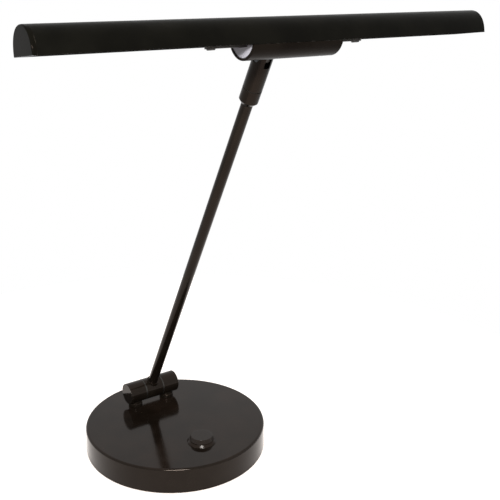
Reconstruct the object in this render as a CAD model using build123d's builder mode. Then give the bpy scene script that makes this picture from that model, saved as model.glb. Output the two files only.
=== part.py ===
from build123d import *
from math import cos, pi, radians, sin
import os

# Piano lamp: a round weighted base with a dimmer, a hinged slim arm, and a half-round LED shade on a
# fork that swivels and tilts. Millimetres. The origin is the middle of the base's underside, +Z is up,
# +X runs along the hinge pin and the shade, and the arm leans towards -Y.

# ---- Driving dimensions ----
FIT = 0.05            # radial clearance of pins, shafts and threads
GAP = 0.1             # gap between faces that slide on each other

BASE_R = 92
BASE_TOP = 26
SHELL_WALL = 2
SHELL_ROOF = 2.5
SHELL_FOOT = 0.5
RIM_FILLET = 2.2
PAD_R = 87
PAD_H = 2
PLATE_R = 89.5
PLATE_H = 1.2
WEIGHT_R = 82
WEIGHT_H = 12
FOOT_SCREW_RING = 62
FOOT_SCREW_R = 2

KNOB_Y = -50
KNOB_R = 12           # at the foot; the side slopes in to the face
KNOB_FACE_R = 10.6
KNOB_H = 4
BEZEL_R = 14.4
BEZEL_TOP_R = 12.8
BEZEL_H = 2.6
BEZEL_WEB = 0.4
SHAFT_R = 3
BUSH_R = 4

INLET_Z = 13
INLET_R = 4
INLET_FLANGE_R = 5.5

HINGE_Y = 51.6
HINGE_Z = 41.6
BARREL_R = 11.1
BARREL_END = 28.6     # outer end of the side barrels
BARREL_START = 10.9   # inner end of the side barrels
CAP_H = 1.6
KNUCKLE_HALF = 9.4
POST_X = 19
POST_R = 7.4
POST_FOOT_H = 4       # height of the posts' wide feet
POST_NECK_R = 6.5
PIN_R = 4
PIN_BORE = 2.5
SPIGOT_R = 4
SPIGOT_BORE = 2.2

LEAN = 27.6           # the arm's lean from upright, in degrees
ARM_R = 5
ARM_BORE = 3.75
TUBE_START = 6.6      # distances along the arm are from the hinge pin's axis
TUBE_END = 378
BLOCK_R = 8.1         # collar and fork
COLLAR_START = 372
COLLAR_END = 386.5
SWIVEL_GAP = 0.8
FORK_START = COLLAR_END + SWIVEL_GAP
SLOT_START = 409.6
SLOT_W = 5.4
PIVOT_AT = 416
STUD_R = 3.5
STUD_BORE = 2
BOLT_R = 2.5

SHADE_L = 406.4
SHADE_HALF = 15.84
SHADE_H = 19.25
SHADE_POWER = 2.27    # roundness of the arch: 2 is an ellipse
SHADE_WALL = 1.2
SHADE_TILT = -7.5     # the front lip stands higher than the back one
SHADE_Y = -170.04     # middle of the plane through the shade's lips
SHADE_Z = 422.43
END_CAP = 3
TONGUE_W = 4.2
HOUSING_HALF = 41.5
HOUSING_R = 16
HOUSING_CENTRE = (-0.8, 5)   # the housing's round bottom is drawn about this point, inside the shade
HOUSING_WALL = 2
BAR_HALF = 71.5
BAR_SCREW_X = 67.5
TONGUE_SCREW_X = 3.9
LED_COUNT = 24

LEAD_R = 1

# ---- Planes ----
HINGE = Plane(origin=(0, HINGE_Y, HINGE_Z), x_dir=(0, 1, 0), z_dir=(1, 0, 0))
ARM = Plane(
    origin=(0, HINGE_Y, HINGE_Z),
    x_dir=(1, 0, 0),
    z_dir=(0, -sin(radians(LEAN)), cos(radians(LEAN))),
)
PIVOT_POINT = ARM.from_local_coords((0, 0, PIVOT_AT))
PIVOT = Plane(origin=PIVOT_POINT, x_dir=(0, 1, 0), z_dir=(1, 0, 0))
TILT = radians(SHADE_TILT)
HEAD = Plane(origin=(0, SHADE_Y, SHADE_Z), x_dir=(1, 0, 0), z_dir=(0, -sin(TILT), cos(TILT)))
# The shade's cross-section: local x runs to the back, local y up from the lips, and it extrudes along +X.
SECTION = Plane(origin=(0, SHADE_Y, SHADE_Z), x_dir=(0, cos(TILT), sin(TILT)), z_dir=(1, 0, 0))
PIVOT_LOCAL = SECTION.to_local_coords(PIVOT_POINT)

ROOF_Z = BASE_TOP - SHELL_ROOF
PLATE_Z = PAD_H
WEIGHT_Z = PLATE_Z + PLATE_H
WEIGHT_TOP = WEIGHT_Z + WEIGHT_H


def write(part, name):
    part.label = name
    export_step(part, f"parts/{name}.step")


os.makedirs("parts", exist_ok=True)

# ---- Base ----
# Spun shell: a shallow drum, open below, with a rounded rim and four screw bosses under its roof.
FOOT_ANGLES = [pi / 4 * k for k in (1, 3, 5, 7)]
FOOT_SCREWS = [(FOOT_SCREW_RING * cos(a), FOOT_SCREW_RING * sin(a)) for a in FOOT_ANGLES]
BOSS_R = 4.5
SCREW_HOLE_END = ROOF_Z - 1

with BuildPart() as base_shell:
    with BuildSketch(Plane.XY.offset(SHELL_FOOT)):
        Circle(BASE_R)
    extrude(amount=BASE_TOP - SHELL_FOOT)
    fillet(base_shell.edges().group_by(Axis.Z)[-1], RIM_FILLET)
    with BuildSketch(Plane.XY.offset(SHELL_FOOT)):
        Circle(BASE_R - SHELL_WALL)
    extrude(amount=ROOF_Z - SHELL_FOOT, mode=Mode.SUBTRACT)
    with BuildSketch(Plane.XY.offset(WEIGHT_TOP)):
        with Locations(FOOT_SCREWS):
            Circle(BOSS_R)
    extrude(amount=ROOF_Z - WEIGHT_TOP)
    with BuildSketch(Plane.XY.offset(WEIGHT_TOP)):
        with Locations(FOOT_SCREWS):
            Circle(FOOT_SCREW_R + FIT)
    extrude(amount=SCREW_HOLE_END - WEIGHT_TOP, mode=Mode.SUBTRACT)
    with BuildSketch(Plane.XY.offset(ROOF_Z)):
        with Locations((-POST_X, HINGE_Y), (POST_X, HINGE_Y)):
            Circle(SPIGOT_R + FIT)
        with Locations((0, KNOB_Y)):
            Circle(BUSH_R + FIT)
    extrude(amount=SHELL_ROOF, mode=Mode.SUBTRACT)
    with BuildSketch(Plane.XZ.offset(-BASE_R)):
        with Locations((0, INLET_Z)):
            Circle(INLET_R + FIT)
    extrude(amount=2 * SHELL_WALL, mode=Mode.SUBTRACT)
write(base_shell.part, "base_shell")

# Cast weight, with pockets for the dimmer board, the nuts under the posts and the inlet.
BOARD_X = 34
BOARD_Y = 28
POCKET_SLACK = 3
NUT_POCKET_R = 10
WEIGHT_CHAMFER = 1.5
LEAD_POCKET = (9, 22)
INLET_NOTCH = (18, 44)
SCREW_SLACK = 0.3

with BuildPart() as base_weight:
    with BuildSketch(Plane.XY.offset(WEIGHT_Z)):
        Circle(WEIGHT_R)
    extrude(amount=WEIGHT_H)
    chamfer(base_weight.edges().group_by(Axis.Z)[-1], WEIGHT_CHAMFER)
    with BuildSketch(Plane.XY.offset(WEIGHT_Z)):
        with Locations((0, KNOB_Y)):
            Rectangle(BOARD_X + 2 * POCKET_SLACK, BOARD_Y + 2 * POCKET_SLACK)
        with Locations((-POST_X, HINGE_Y), (POST_X, HINGE_Y)):
            Circle(NUT_POCKET_R)
        with Locations((POST_X, HINGE_Y - NUT_POCKET_R)):
            Rectangle(*LEAD_POCKET)
        with Locations((0, WEIGHT_R)):
            Rectangle(*INLET_NOTCH)
        with Locations(FOOT_SCREWS):
            Circle(FOOT_SCREW_R + SCREW_SLACK)
    extrude(amount=WEIGHT_H, mode=Mode.SUBTRACT)
write(base_weight.part, "base_weight")

# Bottom plate, drilled for its screws.
SCREW_HEAD_R = 3.8
SCREW_HEAD_H = 1
CROSS_SLOT = (4, 0.8)
CROSS_DEPTH = 0.6

with BuildPart() as bottom_plate:
    with BuildSketch(Plane.XY.offset(PLATE_Z)):
        Circle(PLATE_R)
        with Locations(FOOT_SCREWS):
            Circle(FOOT_SCREW_R + SCREW_SLACK, mode=Mode.SUBTRACT)
    extrude(amount=PLATE_H)
write(bottom_plate.part, "bottom_plate")

# Soft pad that the lamp stands on, with holes over the screw heads.
with BuildPart() as foot_pad:
    with BuildSketch():
        Circle(PAD_R)
        with Locations(FOOT_SCREWS):
            Circle(SCREW_HEAD_R + 1, mode=Mode.SUBTRACT)
    extrude(amount=PAD_H)
write(foot_pad.part, "foot_pad")

with BuildPart() as bottom_screws:
    with BuildSketch(Plane.XY.offset(PLATE_Z - SCREW_HEAD_H)):
        with Locations(FOOT_SCREWS):
            Circle(SCREW_HEAD_R)
    extrude(amount=SCREW_HEAD_H)
    with BuildSketch(Plane.XY.offset(PLATE_Z - SCREW_HEAD_H)):
        with Locations(FOOT_SCREWS):
            Circle(FOOT_SCREW_R)
    extrude(amount=SCREW_HOLE_END - 1 - PLATE_Z + SCREW_HEAD_H)
    with BuildSketch(Plane.XY.offset(PLATE_Z - SCREW_HEAD_H)):
        with Locations(FOOT_SCREWS):
            Rectangle(*CROSS_SLOT)
            Rectangle(*CROSS_SLOT, rotation=90)
    extrude(amount=CROSS_DEPTH, mode=Mode.SUBTRACT)
write(bottom_screws.part, "bottom_screws")

# ---- Dimmer ----
CAN_R = 8
CAN_H = 8
CAN_FLOOR = 2
BOARD_T = 1.6
BOARD_CORNER = 1.5
NUT_H = 1.8
NUT_HALF = 5.5
BUSH_TOP = BASE_TOP + BEZEL_WEB + NUT_H + 0.2
BOARD_Z = ROOF_Z - CAN_H - BOARD_T
TERMINAL_X = 12.5
TERMINAL_Y = KNOB_Y + 8
TERMINAL_W = 6
TERMINAL_L = 7
TERMINAL_H = 5
CAPACITOR_Y = KNOB_Y - 7
CAPACITOR_R = 2.5
CAPACITOR_H = 6

with BuildPart() as dimmer_body:
    with BuildSketch(Plane.XY.offset(ROOF_Z - CAN_H)):
        with Locations((0, KNOB_Y)):
            Circle(CAN_R)
    extrude(amount=CAN_H)
    with BuildSketch(Plane.XY.offset(ROOF_Z)):
        with Locations((0, KNOB_Y)):
            Circle(BUSH_R)
    extrude(amount=BUSH_TOP - ROOF_Z)
    with BuildSketch(Plane.XY.offset(ROOF_Z - CAN_H + CAN_FLOOR)):
        with Locations((0, KNOB_Y)):
            Circle(SHAFT_R + FIT)
    extrude(amount=BUSH_TOP, mode=Mode.SUBTRACT)
write(dimmer_body.part, "dimmer_body")

with BuildPart() as dimmer_board:
    with BuildSketch(Plane.XY.offset(BOARD_Z)):
        with Locations((0, KNOB_Y)):
            RectangleRounded(BOARD_X, BOARD_Y, BOARD_CORNER)
    extrude(amount=BOARD_T)
    with BuildSketch(Plane.XY.offset(BOARD_Z + BOARD_T)):
        with Locations((-TERMINAL_X, TERMINAL_Y), (TERMINAL_X, TERMINAL_Y)):
            Rectangle(TERMINAL_W, TERMINAL_L)
    extrude(amount=TERMINAL_H)
    with BuildSketch(Plane.XY.offset(BOARD_Z + BOARD_T)):
        with Locations((-TERMINAL_X, CAPACITOR_Y), (TERMINAL_X, CAPACITOR_Y)):
            Circle(CAPACITOR_R)
    extrude(amount=CAPACITOR_H)
write(dimmer_board.part, "dimmer_board")

# Trim ring round the knob. The nut stands in its recess and clamps it, and the dimmer, to the roof.
RECESS_R = 7.6
BEZEL_LIP = 0.4        # height of the upright edge under the bezel's slope
KNOB_PROFILE = Plane(origin=(0, KNOB_Y, BASE_TOP), x_dir=(1, 0, 0), z_dir=(0, -1, 0))
KNOB_AXIS = Axis((0, KNOB_Y, 0), (0, 0, 1))

with BuildPart() as dimmer_bezel:
    with BuildSketch(KNOB_PROFILE):
        with BuildLine():
            Polyline(
                (BUSH_R + FIT, 0),
                (BEZEL_R, 0),
                (BEZEL_R, BEZEL_LIP),
                (BEZEL_TOP_R, BEZEL_H),
                (RECESS_R, BEZEL_H),
                (RECESS_R, BEZEL_WEB),
                (BUSH_R + FIT, BEZEL_WEB),
                close=True,
            )
        make_face()
    revolve(axis=KNOB_AXIS)
write(dimmer_bezel.part, "dimmer_bezel")

with BuildPart() as dimmer_nut:
    with BuildSketch(Plane.XY.offset(BASE_TOP + BEZEL_WEB)):
        with Locations((0, KNOB_Y)):
            RegularPolygon(NUT_HALF, 6, major_radius=False)
            Circle(BUSH_R + FIT, mode=Mode.SUBTRACT)
    extrude(amount=NUT_H)
write(dimmer_nut.part, "dimmer_nut")

# The shaft's upper end has a flat, and the knob's bore has the same flat.
SHAFT_FLAT = 1.6
KNOB_FOOT = BEZEL_H + 0.3      # above the base's top, like the next two
KNOB_TOP = BEZEL_H + KNOB_H
KNOB_BORE_END = KNOB_TOP - 1.2
SHAFT_START = ROOF_Z - CAN_H + CAN_FLOOR + GAP
SHAFT_TOP = BASE_TOP + KNOB_BORE_END - 0.2
FLAT_FROM = BUSH_TOP + 0.2
FLAT_CUT = (2 * SHAFT_R + 2, 2 * SHAFT_R)
KNOB_FACE_ROUND = 0.7

with BuildPart() as dimmer_shaft:
    with BuildSketch(Plane.XY.offset(SHAFT_START)):
        with Locations((0, KNOB_Y)):
            Circle(SHAFT_R)
    extrude(amount=SHAFT_TOP - SHAFT_START)
    with BuildSketch(Plane.XY.offset(FLAT_FROM)):
        with Locations((0, KNOB_Y + SHAFT_FLAT + SHAFT_R)):
            Rectangle(*FLAT_CUT)
    extrude(amount=BASE_TOP, mode=Mode.SUBTRACT)
write(dimmer_shaft.part, "dimmer_shaft")

# Knob: a low round cap with a sloped side, on the shaft's flat.
with BuildPart() as dimmer_knob:
    with BuildSketch(KNOB_PROFILE):
        with BuildLine():
            Polyline(
                (0, KNOB_TOP),
                (KNOB_FACE_R, KNOB_TOP),
                (KNOB_R, KNOB_FOOT),
                (0, KNOB_FOOT),
                close=True,
            )
        make_face()
    revolve(axis=KNOB_AXIS)
    fillet(dimmer_knob.edges().filter_by(GeomType.CIRCLE).group_by(Axis.Z)[-1], KNOB_FACE_ROUND)
    with BuildSketch(Plane.XY.offset(BASE_TOP + KNOB_FOOT)):
        with Locations((0, KNOB_Y)):
            Circle(SHAFT_R + FIT)
        with Locations((0, KNOB_Y + SHAFT_FLAT + FIT + SHAFT_R)):
            Rectangle(*FLAT_CUT, mode=Mode.SUBTRACT)
    extrude(amount=KNOB_BORE_END - KNOB_FOOT, mode=Mode.SUBTRACT)
write(dimmer_knob.part, "dimmer_knob")

# ---- Low-voltage inlet in the back of the rim ----
INLET_FLANGE_H = 1.6
INLET_FACE = BASE_R + INLET_FLANGE_H
INLET_INNER = BASE_R - 16
JACK_BORE = 2.85
JACK_DEPTH = 9
JACK_PIN_R = 1
JACK_PIN_SET = 1       # the pin ends this far inside the face
INLET_PLANE = Plane(origin=(0, INLET_FACE, INLET_Z), x_dir=(1, 0, 0), z_dir=(0, -1, 0))
FLAT_NUT_H = 2.5
FLAT_NUT_START = INLET_FLANGE_H + SHELL_WALL + 0.4

with BuildPart() as dc_inlet:
    with BuildSketch(INLET_PLANE):
        Circle(INLET_FLANGE_R)
    extrude(amount=INLET_FLANGE_H)
    with BuildSketch(INLET_PLANE):
        Circle(INLET_R)
    extrude(amount=INLET_FACE - INLET_INNER)
    with BuildSketch(INLET_PLANE):
        Circle(JACK_BORE)
    extrude(amount=JACK_DEPTH, mode=Mode.SUBTRACT)
    with BuildSketch(INLET_PLANE.offset(JACK_PIN_SET)):
        Circle(JACK_PIN_R)
    extrude(amount=JACK_DEPTH)
write(dc_inlet.part, "dc_inlet")

with BuildPart() as inlet_nut:
    with BuildSketch(INLET_PLANE.offset(FLAT_NUT_START)):
        RegularPolygon(NUT_HALF, 6, major_radius=False)
        Circle(INLET_R + FIT, mode=Mode.SUBTRACT)
    extrude(amount=FLAT_NUT_H)
write(inlet_nut.part, "inlet_nut")

# ---- Hinge on the base ----
# Each bracket is a round post on a wider foot with a side barrel and a hollow threaded spigot that goes down through the
# roof of the base. The pin, its head and its nut sit in counterbores behind the end caps.
SEAT_R = 8
SEAT_DEPTH = 7
SPIGOT_END = 16.4
BRACKET_WALL_END = BARREL_END - CAP_H
LEAD_ROOM = 0.3
POST_CORNER = 0.7
POST_NUT_HALF = 6.5
POST_NUT_H = 4
POST_WASHER_R = 8
POST_WASHER_H = 1


def make_bracket(side, name):
    """Post and side barrel on one side of the knuckle; side is -1 for the left and +1 for the right."""
    inner = side * BARREL_START
    with BuildPart() as bracket:
        with BuildSketch(Plane.XY.offset(BASE_TOP)):
            with Locations((side * POST_X, HINGE_Y)):
                Circle(POST_R)
        extrude(amount=POST_FOOT_H)
        fillet(bracket.edges().filter_by(GeomType.CIRCLE), POST_CORNER)
        with BuildSketch(Plane.XY.offset(BASE_TOP)):
            with Locations((side * POST_X, HINGE_Y)):
                Circle(POST_NECK_R)
        extrude(amount=HINGE_Z - BASE_TOP)
        with BuildSketch(HINGE.offset(inner)):
            Circle(BARREL_R)
        extrude(amount=side * (BRACKET_WALL_END - BARREL_START))
        with BuildSketch(Plane.XY.offset(SPIGOT_END)):
            with Locations((side * POST_X, HINGE_Y)):
                Circle(SPIGOT_R)
        extrude(amount=BASE_TOP - SPIGOT_END)
        with BuildSketch(HINGE.offset(inner)):
            Circle(PIN_R + FIT)
        extrude(amount=side * (BRACKET_WALL_END - BARREL_START), mode=Mode.SUBTRACT)
        with BuildSketch(HINGE.offset(side * (BRACKET_WALL_END - SEAT_DEPTH))):
            Circle(SEAT_R)
        extrude(amount=side * SEAT_DEPTH, mode=Mode.SUBTRACT)
        with BuildSketch(Plane.XY.offset(SPIGOT_END)):
            with Locations((side * POST_X, HINGE_Y)):
                Circle(SPIGOT_BORE)
        extrude(amount=HINGE_Z - SPIGOT_END, mode=Mode.SUBTRACT)
    write(bracket.part, name)


make_bracket(-1, "hinge_bracket_left")
make_bracket(1, "hinge_bracket_right")

with BuildPart() as bracket_washers:
    with BuildSketch(Plane.XY.offset(ROOF_Z - POST_WASHER_H)):
        with Locations((-POST_X, HINGE_Y), (POST_X, HINGE_Y)):
            Circle(POST_WASHER_R)
            Circle(SPIGOT_R + FIT, mode=Mode.SUBTRACT)
    extrude(amount=POST_WASHER_H)
write(bracket_washers.part, "bracket_washers")

with BuildPart() as bracket_nuts:
    with BuildSketch(Plane.XY.offset(ROOF_Z - POST_WASHER_H - POST_NUT_H)):
        with Locations((-POST_X, HINGE_Y), (POST_X, HINGE_Y)):
            RegularPolygon(POST_NUT_HALF, 6, major_radius=False)
            Circle(SPIGOT_R + FIT, mode=Mode.SUBTRACT)
    extrude(amount=POST_NUT_H)
write(bracket_nuts.part, "bracket_nuts")

# Hollow pin: a lead comes in from the right post, and leaves in the middle through a slot that is open
# over the whole swing of the arm.
PIN_HEAD_R = 7
PIN_HEAD_H = 3
PIN_SEAT_X = BRACKET_WALL_END - SEAT_DEPTH
PIN_TIP = BRACKET_WALL_END - 0.6
PIN_SLOT_HALF = 2.2
PIN_SLOT_FLOOR = 0.5   # the slot is open from this far below the axis upwards
PIN_NUT_HALF = 6.5
PIN_NUT_H = 3.4

with BuildPart() as hinge_pin:
    with BuildSketch(HINGE.offset(-PIN_SEAT_X)):
        Circle(PIN_R)
    extrude(amount=PIN_SEAT_X + PIN_TIP)
    with BuildSketch(HINGE.offset(-PIN_SEAT_X)):
        Circle(PIN_HEAD_R)
    extrude(amount=-PIN_HEAD_H)
    with BuildSketch(HINGE.offset(-POST_X)):
        Circle(PIN_BORE)
    extrude(amount=POST_X + PIN_TIP, mode=Mode.SUBTRACT)
    with BuildSketch(Plane.XY.offset(HINGE_Z - PIN_R)):
        with Locations((POST_X, HINGE_Y)):
            RectangleRounded(3 * SPIGOT_BORE, 2 * SPIGOT_BORE, SPIGOT_BORE / 2)
    extrude(amount=PIN_R, mode=Mode.SUBTRACT)
    with BuildSketch(HINGE.offset(-PIN_SLOT_HALF)):
        with Locations((0, PIN_R - PIN_SLOT_FLOOR)):
            Rectangle(4 * PIN_R, 2 * PIN_R)
    extrude(amount=2 * PIN_SLOT_HALF, mode=Mode.SUBTRACT)
write(hinge_pin.part, "hinge_pin")

SPRING_COUNT = 3
SPRING_H = 0.8
SPRING_R = 7.2

with BuildPart() as hinge_spring_washers:
    for k in range(SPRING_COUNT):
        with BuildSketch(HINGE.offset(PIN_SEAT_X + k * (SPRING_H + GAP))):
            Circle(SPRING_R)
            Circle(PIN_R + FIT, mode=Mode.SUBTRACT)
        extrude(amount=SPRING_H)
write(hinge_spring_washers.part, "hinge_spring_washers")

with BuildPart() as hinge_nut:
    with BuildSketch(HINGE.offset(PIN_SEAT_X + SPRING_COUNT * (SPRING_H + GAP))):
        RegularPolygon(PIN_NUT_HALF, 6, major_radius=False)
        Circle(PIN_R + FIT, mode=Mode.SUBTRACT)
    extrude(amount=PIN_NUT_H)
write(hinge_nut.part, "hinge_nut")

with BuildPart() as friction_washers:
    for start in (-BARREL_START, KNUCKLE_HALF + GAP):
        with BuildSketch(HINGE.offset(start)):
            Circle(BARREL_R)
            Circle(PIN_R + FIT, mode=Mode.SUBTRACT)
        extrude(amount=BARREL_START - KNUCKLE_HALF - GAP)
write(friction_washers.part, "friction_washers")

CAP_RIM = 0.5
CAP_PLUG = 0.4


def make_hinge_cap(side, name):
    """Flat disc that closes a side barrel, with a short plug in the counterbore."""
    with BuildPart() as cap:
        with BuildSketch(HINGE.offset(side * BRACKET_WALL_END)):
            Circle(BARREL_R)
        extrude(amount=side * CAP_H)
        outer_rim = cap.edges().group_by(Axis.X)[-1 if side > 0 else 0]
        fillet(outer_rim, CAP_RIM)
        with BuildSketch(HINGE.offset(side * (BRACKET_WALL_END - CAP_PLUG))):
            Circle(SEAT_R - FIT)
        extrude(amount=side * CAP_PLUG)
    write(cap.part, name)


make_hinge_cap(-1, "hinge_cap_left")
make_hinge_cap(1, "hinge_cap_right")

# ---- Arm ----
NECK_R = 6.3
NECK_TOP = 12.4
SOCKET_R = ARM_R + FIT
TUBE_WAY = 3.2

with BuildPart() as hinge_knuckle:
    with BuildSketch(HINGE.offset(-KNUCKLE_HALF)):
        Circle(BARREL_R)
    extrude(amount=2 * KNUCKLE_HALF)
    with BuildSketch(ARM):
        Circle(NECK_R)
    extrude(amount=NECK_TOP)
    with BuildSketch(ARM.offset(TUBE_START)):
        Circle(SOCKET_R)
    extrude(amount=NECK_TOP, mode=Mode.SUBTRACT)
    with BuildSketch(ARM):
        Circle(TUBE_WAY)
    extrude(amount=NECK_TOP, mode=Mode.SUBTRACT)
    with BuildSketch(HINGE.offset(-KNUCKLE_HALF)):
        Circle(PIN_R + FIT)
    extrude(amount=2 * KNUCKLE_HALF, mode=Mode.SUBTRACT)
write(hinge_knuckle.part, "hinge_knuckle")

with BuildPart() as arm_tube:
    with BuildSketch(ARM.offset(TUBE_START)):
        Circle(ARM_R)
        Circle(ARM_BORE, mode=Mode.SUBTRACT)
    extrude(amount=TUBE_END - TUBE_START)
write(arm_tube.part, "arm_tube")

# Collar: the lower part of the block, tapered at its foot, with a shoulder inside that carries the swivel.
SHOULDER = 381
TAPER_H = 3.5
TAPER_IN = 2.8

with BuildPart() as arm_collar:
    with BuildSketch(ARM.offset(COLLAR_START)):
        Circle(BLOCK_R)
    extrude(amount=COLLAR_END - COLLAR_START)
    chamfer(arm_collar.edges().group_by(Axis.Z)[0], TAPER_H, TAPER_IN)
    with BuildSketch(ARM.offset(COLLAR_START)):
        Circle(SOCKET_R)
    extrude(amount=SHOULDER - COLLAR_START, mode=Mode.SUBTRACT)
    with BuildSketch(ARM.offset(SHOULDER)):
        Circle(STUD_R + FIT)
    extrude(amount=COLLAR_END - SHOULDER, mode=Mode.SUBTRACT)
write(arm_collar.part, "arm_collar")

SWIVEL_INSET = 0.5

with BuildPart() as swivel_washer:
    with BuildSketch(ARM.offset(COLLAR_END)):
        Circle(BLOCK_R - SWIVEL_INSET)
        Circle(STUD_R + FIT, mode=Mode.SUBTRACT)
    extrude(amount=SWIVEL_GAP - GAP)
write(swivel_washer.part, "swivel_washer")

# ---- Fork ----
# The upper part of the block turns on the collar. Its two ears are rounded about the pivot bolt.
EAR = Plane(origin=PIVOT_POINT, x_dir=(0, cos(radians(LEAN)), sin(radians(LEAN))), z_dir=(1, 0, 0))
EAR_R = 8
HEAD_SEAT_R = 4.4
HEAD_SEAT_X = 5.6
STUD_START = 379
STUD_END = 394
WAY_START = 401
WAY_W = 2.6
WAY_FRONT = 6.9        # reach of the inner way towards the front of the block

with BuildPart() as swivel_fork:
    with BuildSketch(ARM.offset(FORK_START)):
        Circle(BLOCK_R)
    extrude(amount=PIVOT_AT + EAR_R - FORK_START)
    with BuildSketch(EAR.offset(-BLOCK_R)):
        with Locations((0, EAR_R)):
            Rectangle(4 * EAR_R, 2 * EAR_R)
        Circle(EAR_R, mode=Mode.SUBTRACT)
    extrude(amount=2 * BLOCK_R, mode=Mode.SUBTRACT)
    with BuildSketch(ARM.offset(SLOT_START)):
        Rectangle(SLOT_W, 4 * BLOCK_R)
    extrude(amount=2 * PIVOT_AT, mode=Mode.SUBTRACT)
    with BuildSketch(EAR.offset(-BLOCK_R)):
        Circle(BOLT_R + FIT)
    extrude(amount=2 * BLOCK_R, mode=Mode.SUBTRACT)
    for side in (-1, 1):
        with BuildSketch(EAR.offset(side * HEAD_SEAT_X)):
            Circle(HEAD_SEAT_R)
        extrude(amount=side * BLOCK_R, mode=Mode.SUBTRACT)
    with BuildSketch(ARM.offset(FORK_START)):
        Circle(STUD_R + FIT)
    extrude(amount=STUD_END - FORK_START, mode=Mode.SUBTRACT)
    with BuildSketch(ARM.offset(FORK_START)):
        Circle(STUD_BORE)
    extrude(amount=SLOT_START - FORK_START, mode=Mode.SUBTRACT)
    with BuildSketch(ARM.offset(WAY_START)):
        with Locations((0, -WAY_FRONT / 2)):
            Rectangle(WAY_W, WAY_FRONT)
    extrude(amount=SLOT_START - WAY_START, mode=Mode.SUBTRACT)
write(swivel_fork.part, "swivel_fork")

# Hollow stud: screwed into the fork, held under the collar's shoulder by a clip and a spring washer.
GROOVE_R = 3
CLIP_START = 379.6
CLIP_H = 0.6
CLIP_R = 4.7
CLIP_MOUTH = 2.4

with BuildPart() as swivel_stud:
    with BuildSketch(ARM.offset(STUD_START)):
        Circle(STUD_R)
    extrude(amount=STUD_END - STUD_START)
    with BuildSketch(ARM.offset(CLIP_START)):
        Circle(STUD_R)
        Circle(GROOVE_R, mode=Mode.SUBTRACT)
    extrude(amount=CLIP_H + FIT, mode=Mode.SUBTRACT)
    with BuildSketch(ARM.offset(STUD_START)):
        Circle(STUD_BORE)
    extrude(amount=STUD_END - STUD_START, mode=Mode.SUBTRACT)
write(swivel_stud.part, "swivel_stud")

with BuildPart() as swivel_clip:
    with BuildSketch(ARM.offset(CLIP_START)):
        Circle(CLIP_R)
        Circle(GROOVE_R + FIT, mode=Mode.SUBTRACT)
        with Locations((0, CLIP_R)):
            Rectangle(CLIP_MOUTH, CLIP_R, mode=Mode.SUBTRACT)
    extrude(amount=CLIP_H)
write(swivel_clip.part, "swivel_clip")

with BuildPart() as swivel_spring_washer:
    with BuildSketch(ARM.offset(CLIP_START + CLIP_H + GAP)):
        Circle(CLIP_R)
        Circle(STUD_R + FIT, mode=Mode.SUBTRACT)
    extrude(amount=SHOULDER - GAP - CLIP_START - CLIP_H - GAP)
write(swivel_spring_washer.part, "swivel_spring_washer")

BOLT_HEAD_H = 1.8
BOLT_TIP = HEAD_SEAT_X + 2.2
BOLT_SOCKET = 1.5
BOLT_SOCKET_DEPTH = 1.4
BOLT_NUT_HALF = 3.6
BOLT_NUT_H = 2
PIVOT_WASHER_R = 5

with BuildPart() as pivot_bolt:
    with BuildSketch(PIVOT.offset(-HEAD_SEAT_X)):
        Circle(BOLT_R)
    extrude(amount=HEAD_SEAT_X + BOLT_TIP)
    with BuildSketch(PIVOT.offset(-HEAD_SEAT_X)):
        Circle(HEAD_SEAT_R - 0.2)
    extrude(amount=-BOLT_HEAD_H)
    with BuildSketch(PIVOT.offset(-HEAD_SEAT_X - BOLT_HEAD_H)):
        RegularPolygon(BOLT_SOCKET, 6, major_radius=False)
    extrude(amount=BOLT_SOCKET_DEPTH, mode=Mode.SUBTRACT)
write(pivot_bolt.part, "pivot_bolt")

with BuildPart() as pivot_nut:
    with BuildSketch(PIVOT.offset(HEAD_SEAT_X)):
        RegularPolygon(BOLT_NUT_HALF, 6, major_radius=False)
        Circle(BOLT_R + FIT, mode=Mode.SUBTRACT)
    extrude(amount=BOLT_NUT_H)
write(pivot_nut.part, "pivot_nut")

with BuildPart() as pivot_washers:
    for start in (-SLOT_W / 2, TONGUE_W / 2 + GAP):
        with BuildSketch(PIVOT.offset(start)):
            Circle(PIVOT_WASHER_R)
            Circle(BOLT_R + FIT, mode=Mode.SUBTRACT)
        extrude(amount=SLOT_W / 2 - TONGUE_W / 2 - GAP)
write(pivot_washers.part, "pivot_washers")

# ---- Tongue and mounting bar ----
# The tongue hangs the head on the pivot bolt. It enters the housing from behind and ends in a block
# under the mounting bar. A groove in its lower edge holds the lead.
EYE_R = 6.2
TONGUE_HALF = 3
ROOT_TAPER = 1         # the tongue thins by this much towards its root
BAR_BOTTOM = -1.4
BAR_TOP = 1
BAR_V = 6
ROOT_X = 6
ROOT_V = 6
ROOT_BOTTOM = -6.4
ROOT_MID = -4.4
LEAD_V = 7.3
LEAD_W = -4.3
EYE_V = PIVOT_LOCAL.X
EYE_W = PIVOT_LOCAL.Y
GROOVE_END_V = 22.5
GROOVE_START_V = LEAD_V - LEAD_R - 0.2
GROOVE_DROP = 5        # how far the groove's floor side runs below the lead, at its start
GROOVE_END_W = (LEAD_W - 9, LEAD_W - 1.6)
ENTRY_W = 2 * LEAD_R + 0.8
SMALL_SCREW_R = 1.5
SMALL_SCREW_SLACK = 0.1
TONGUE_HEAD_R = 2.8
TONGUE_HEAD_H = 1.4
DRIVER_SLOT = (3, 0.6)
SCREW_DEPTH = ROOT_BOTTOM + 1

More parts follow.
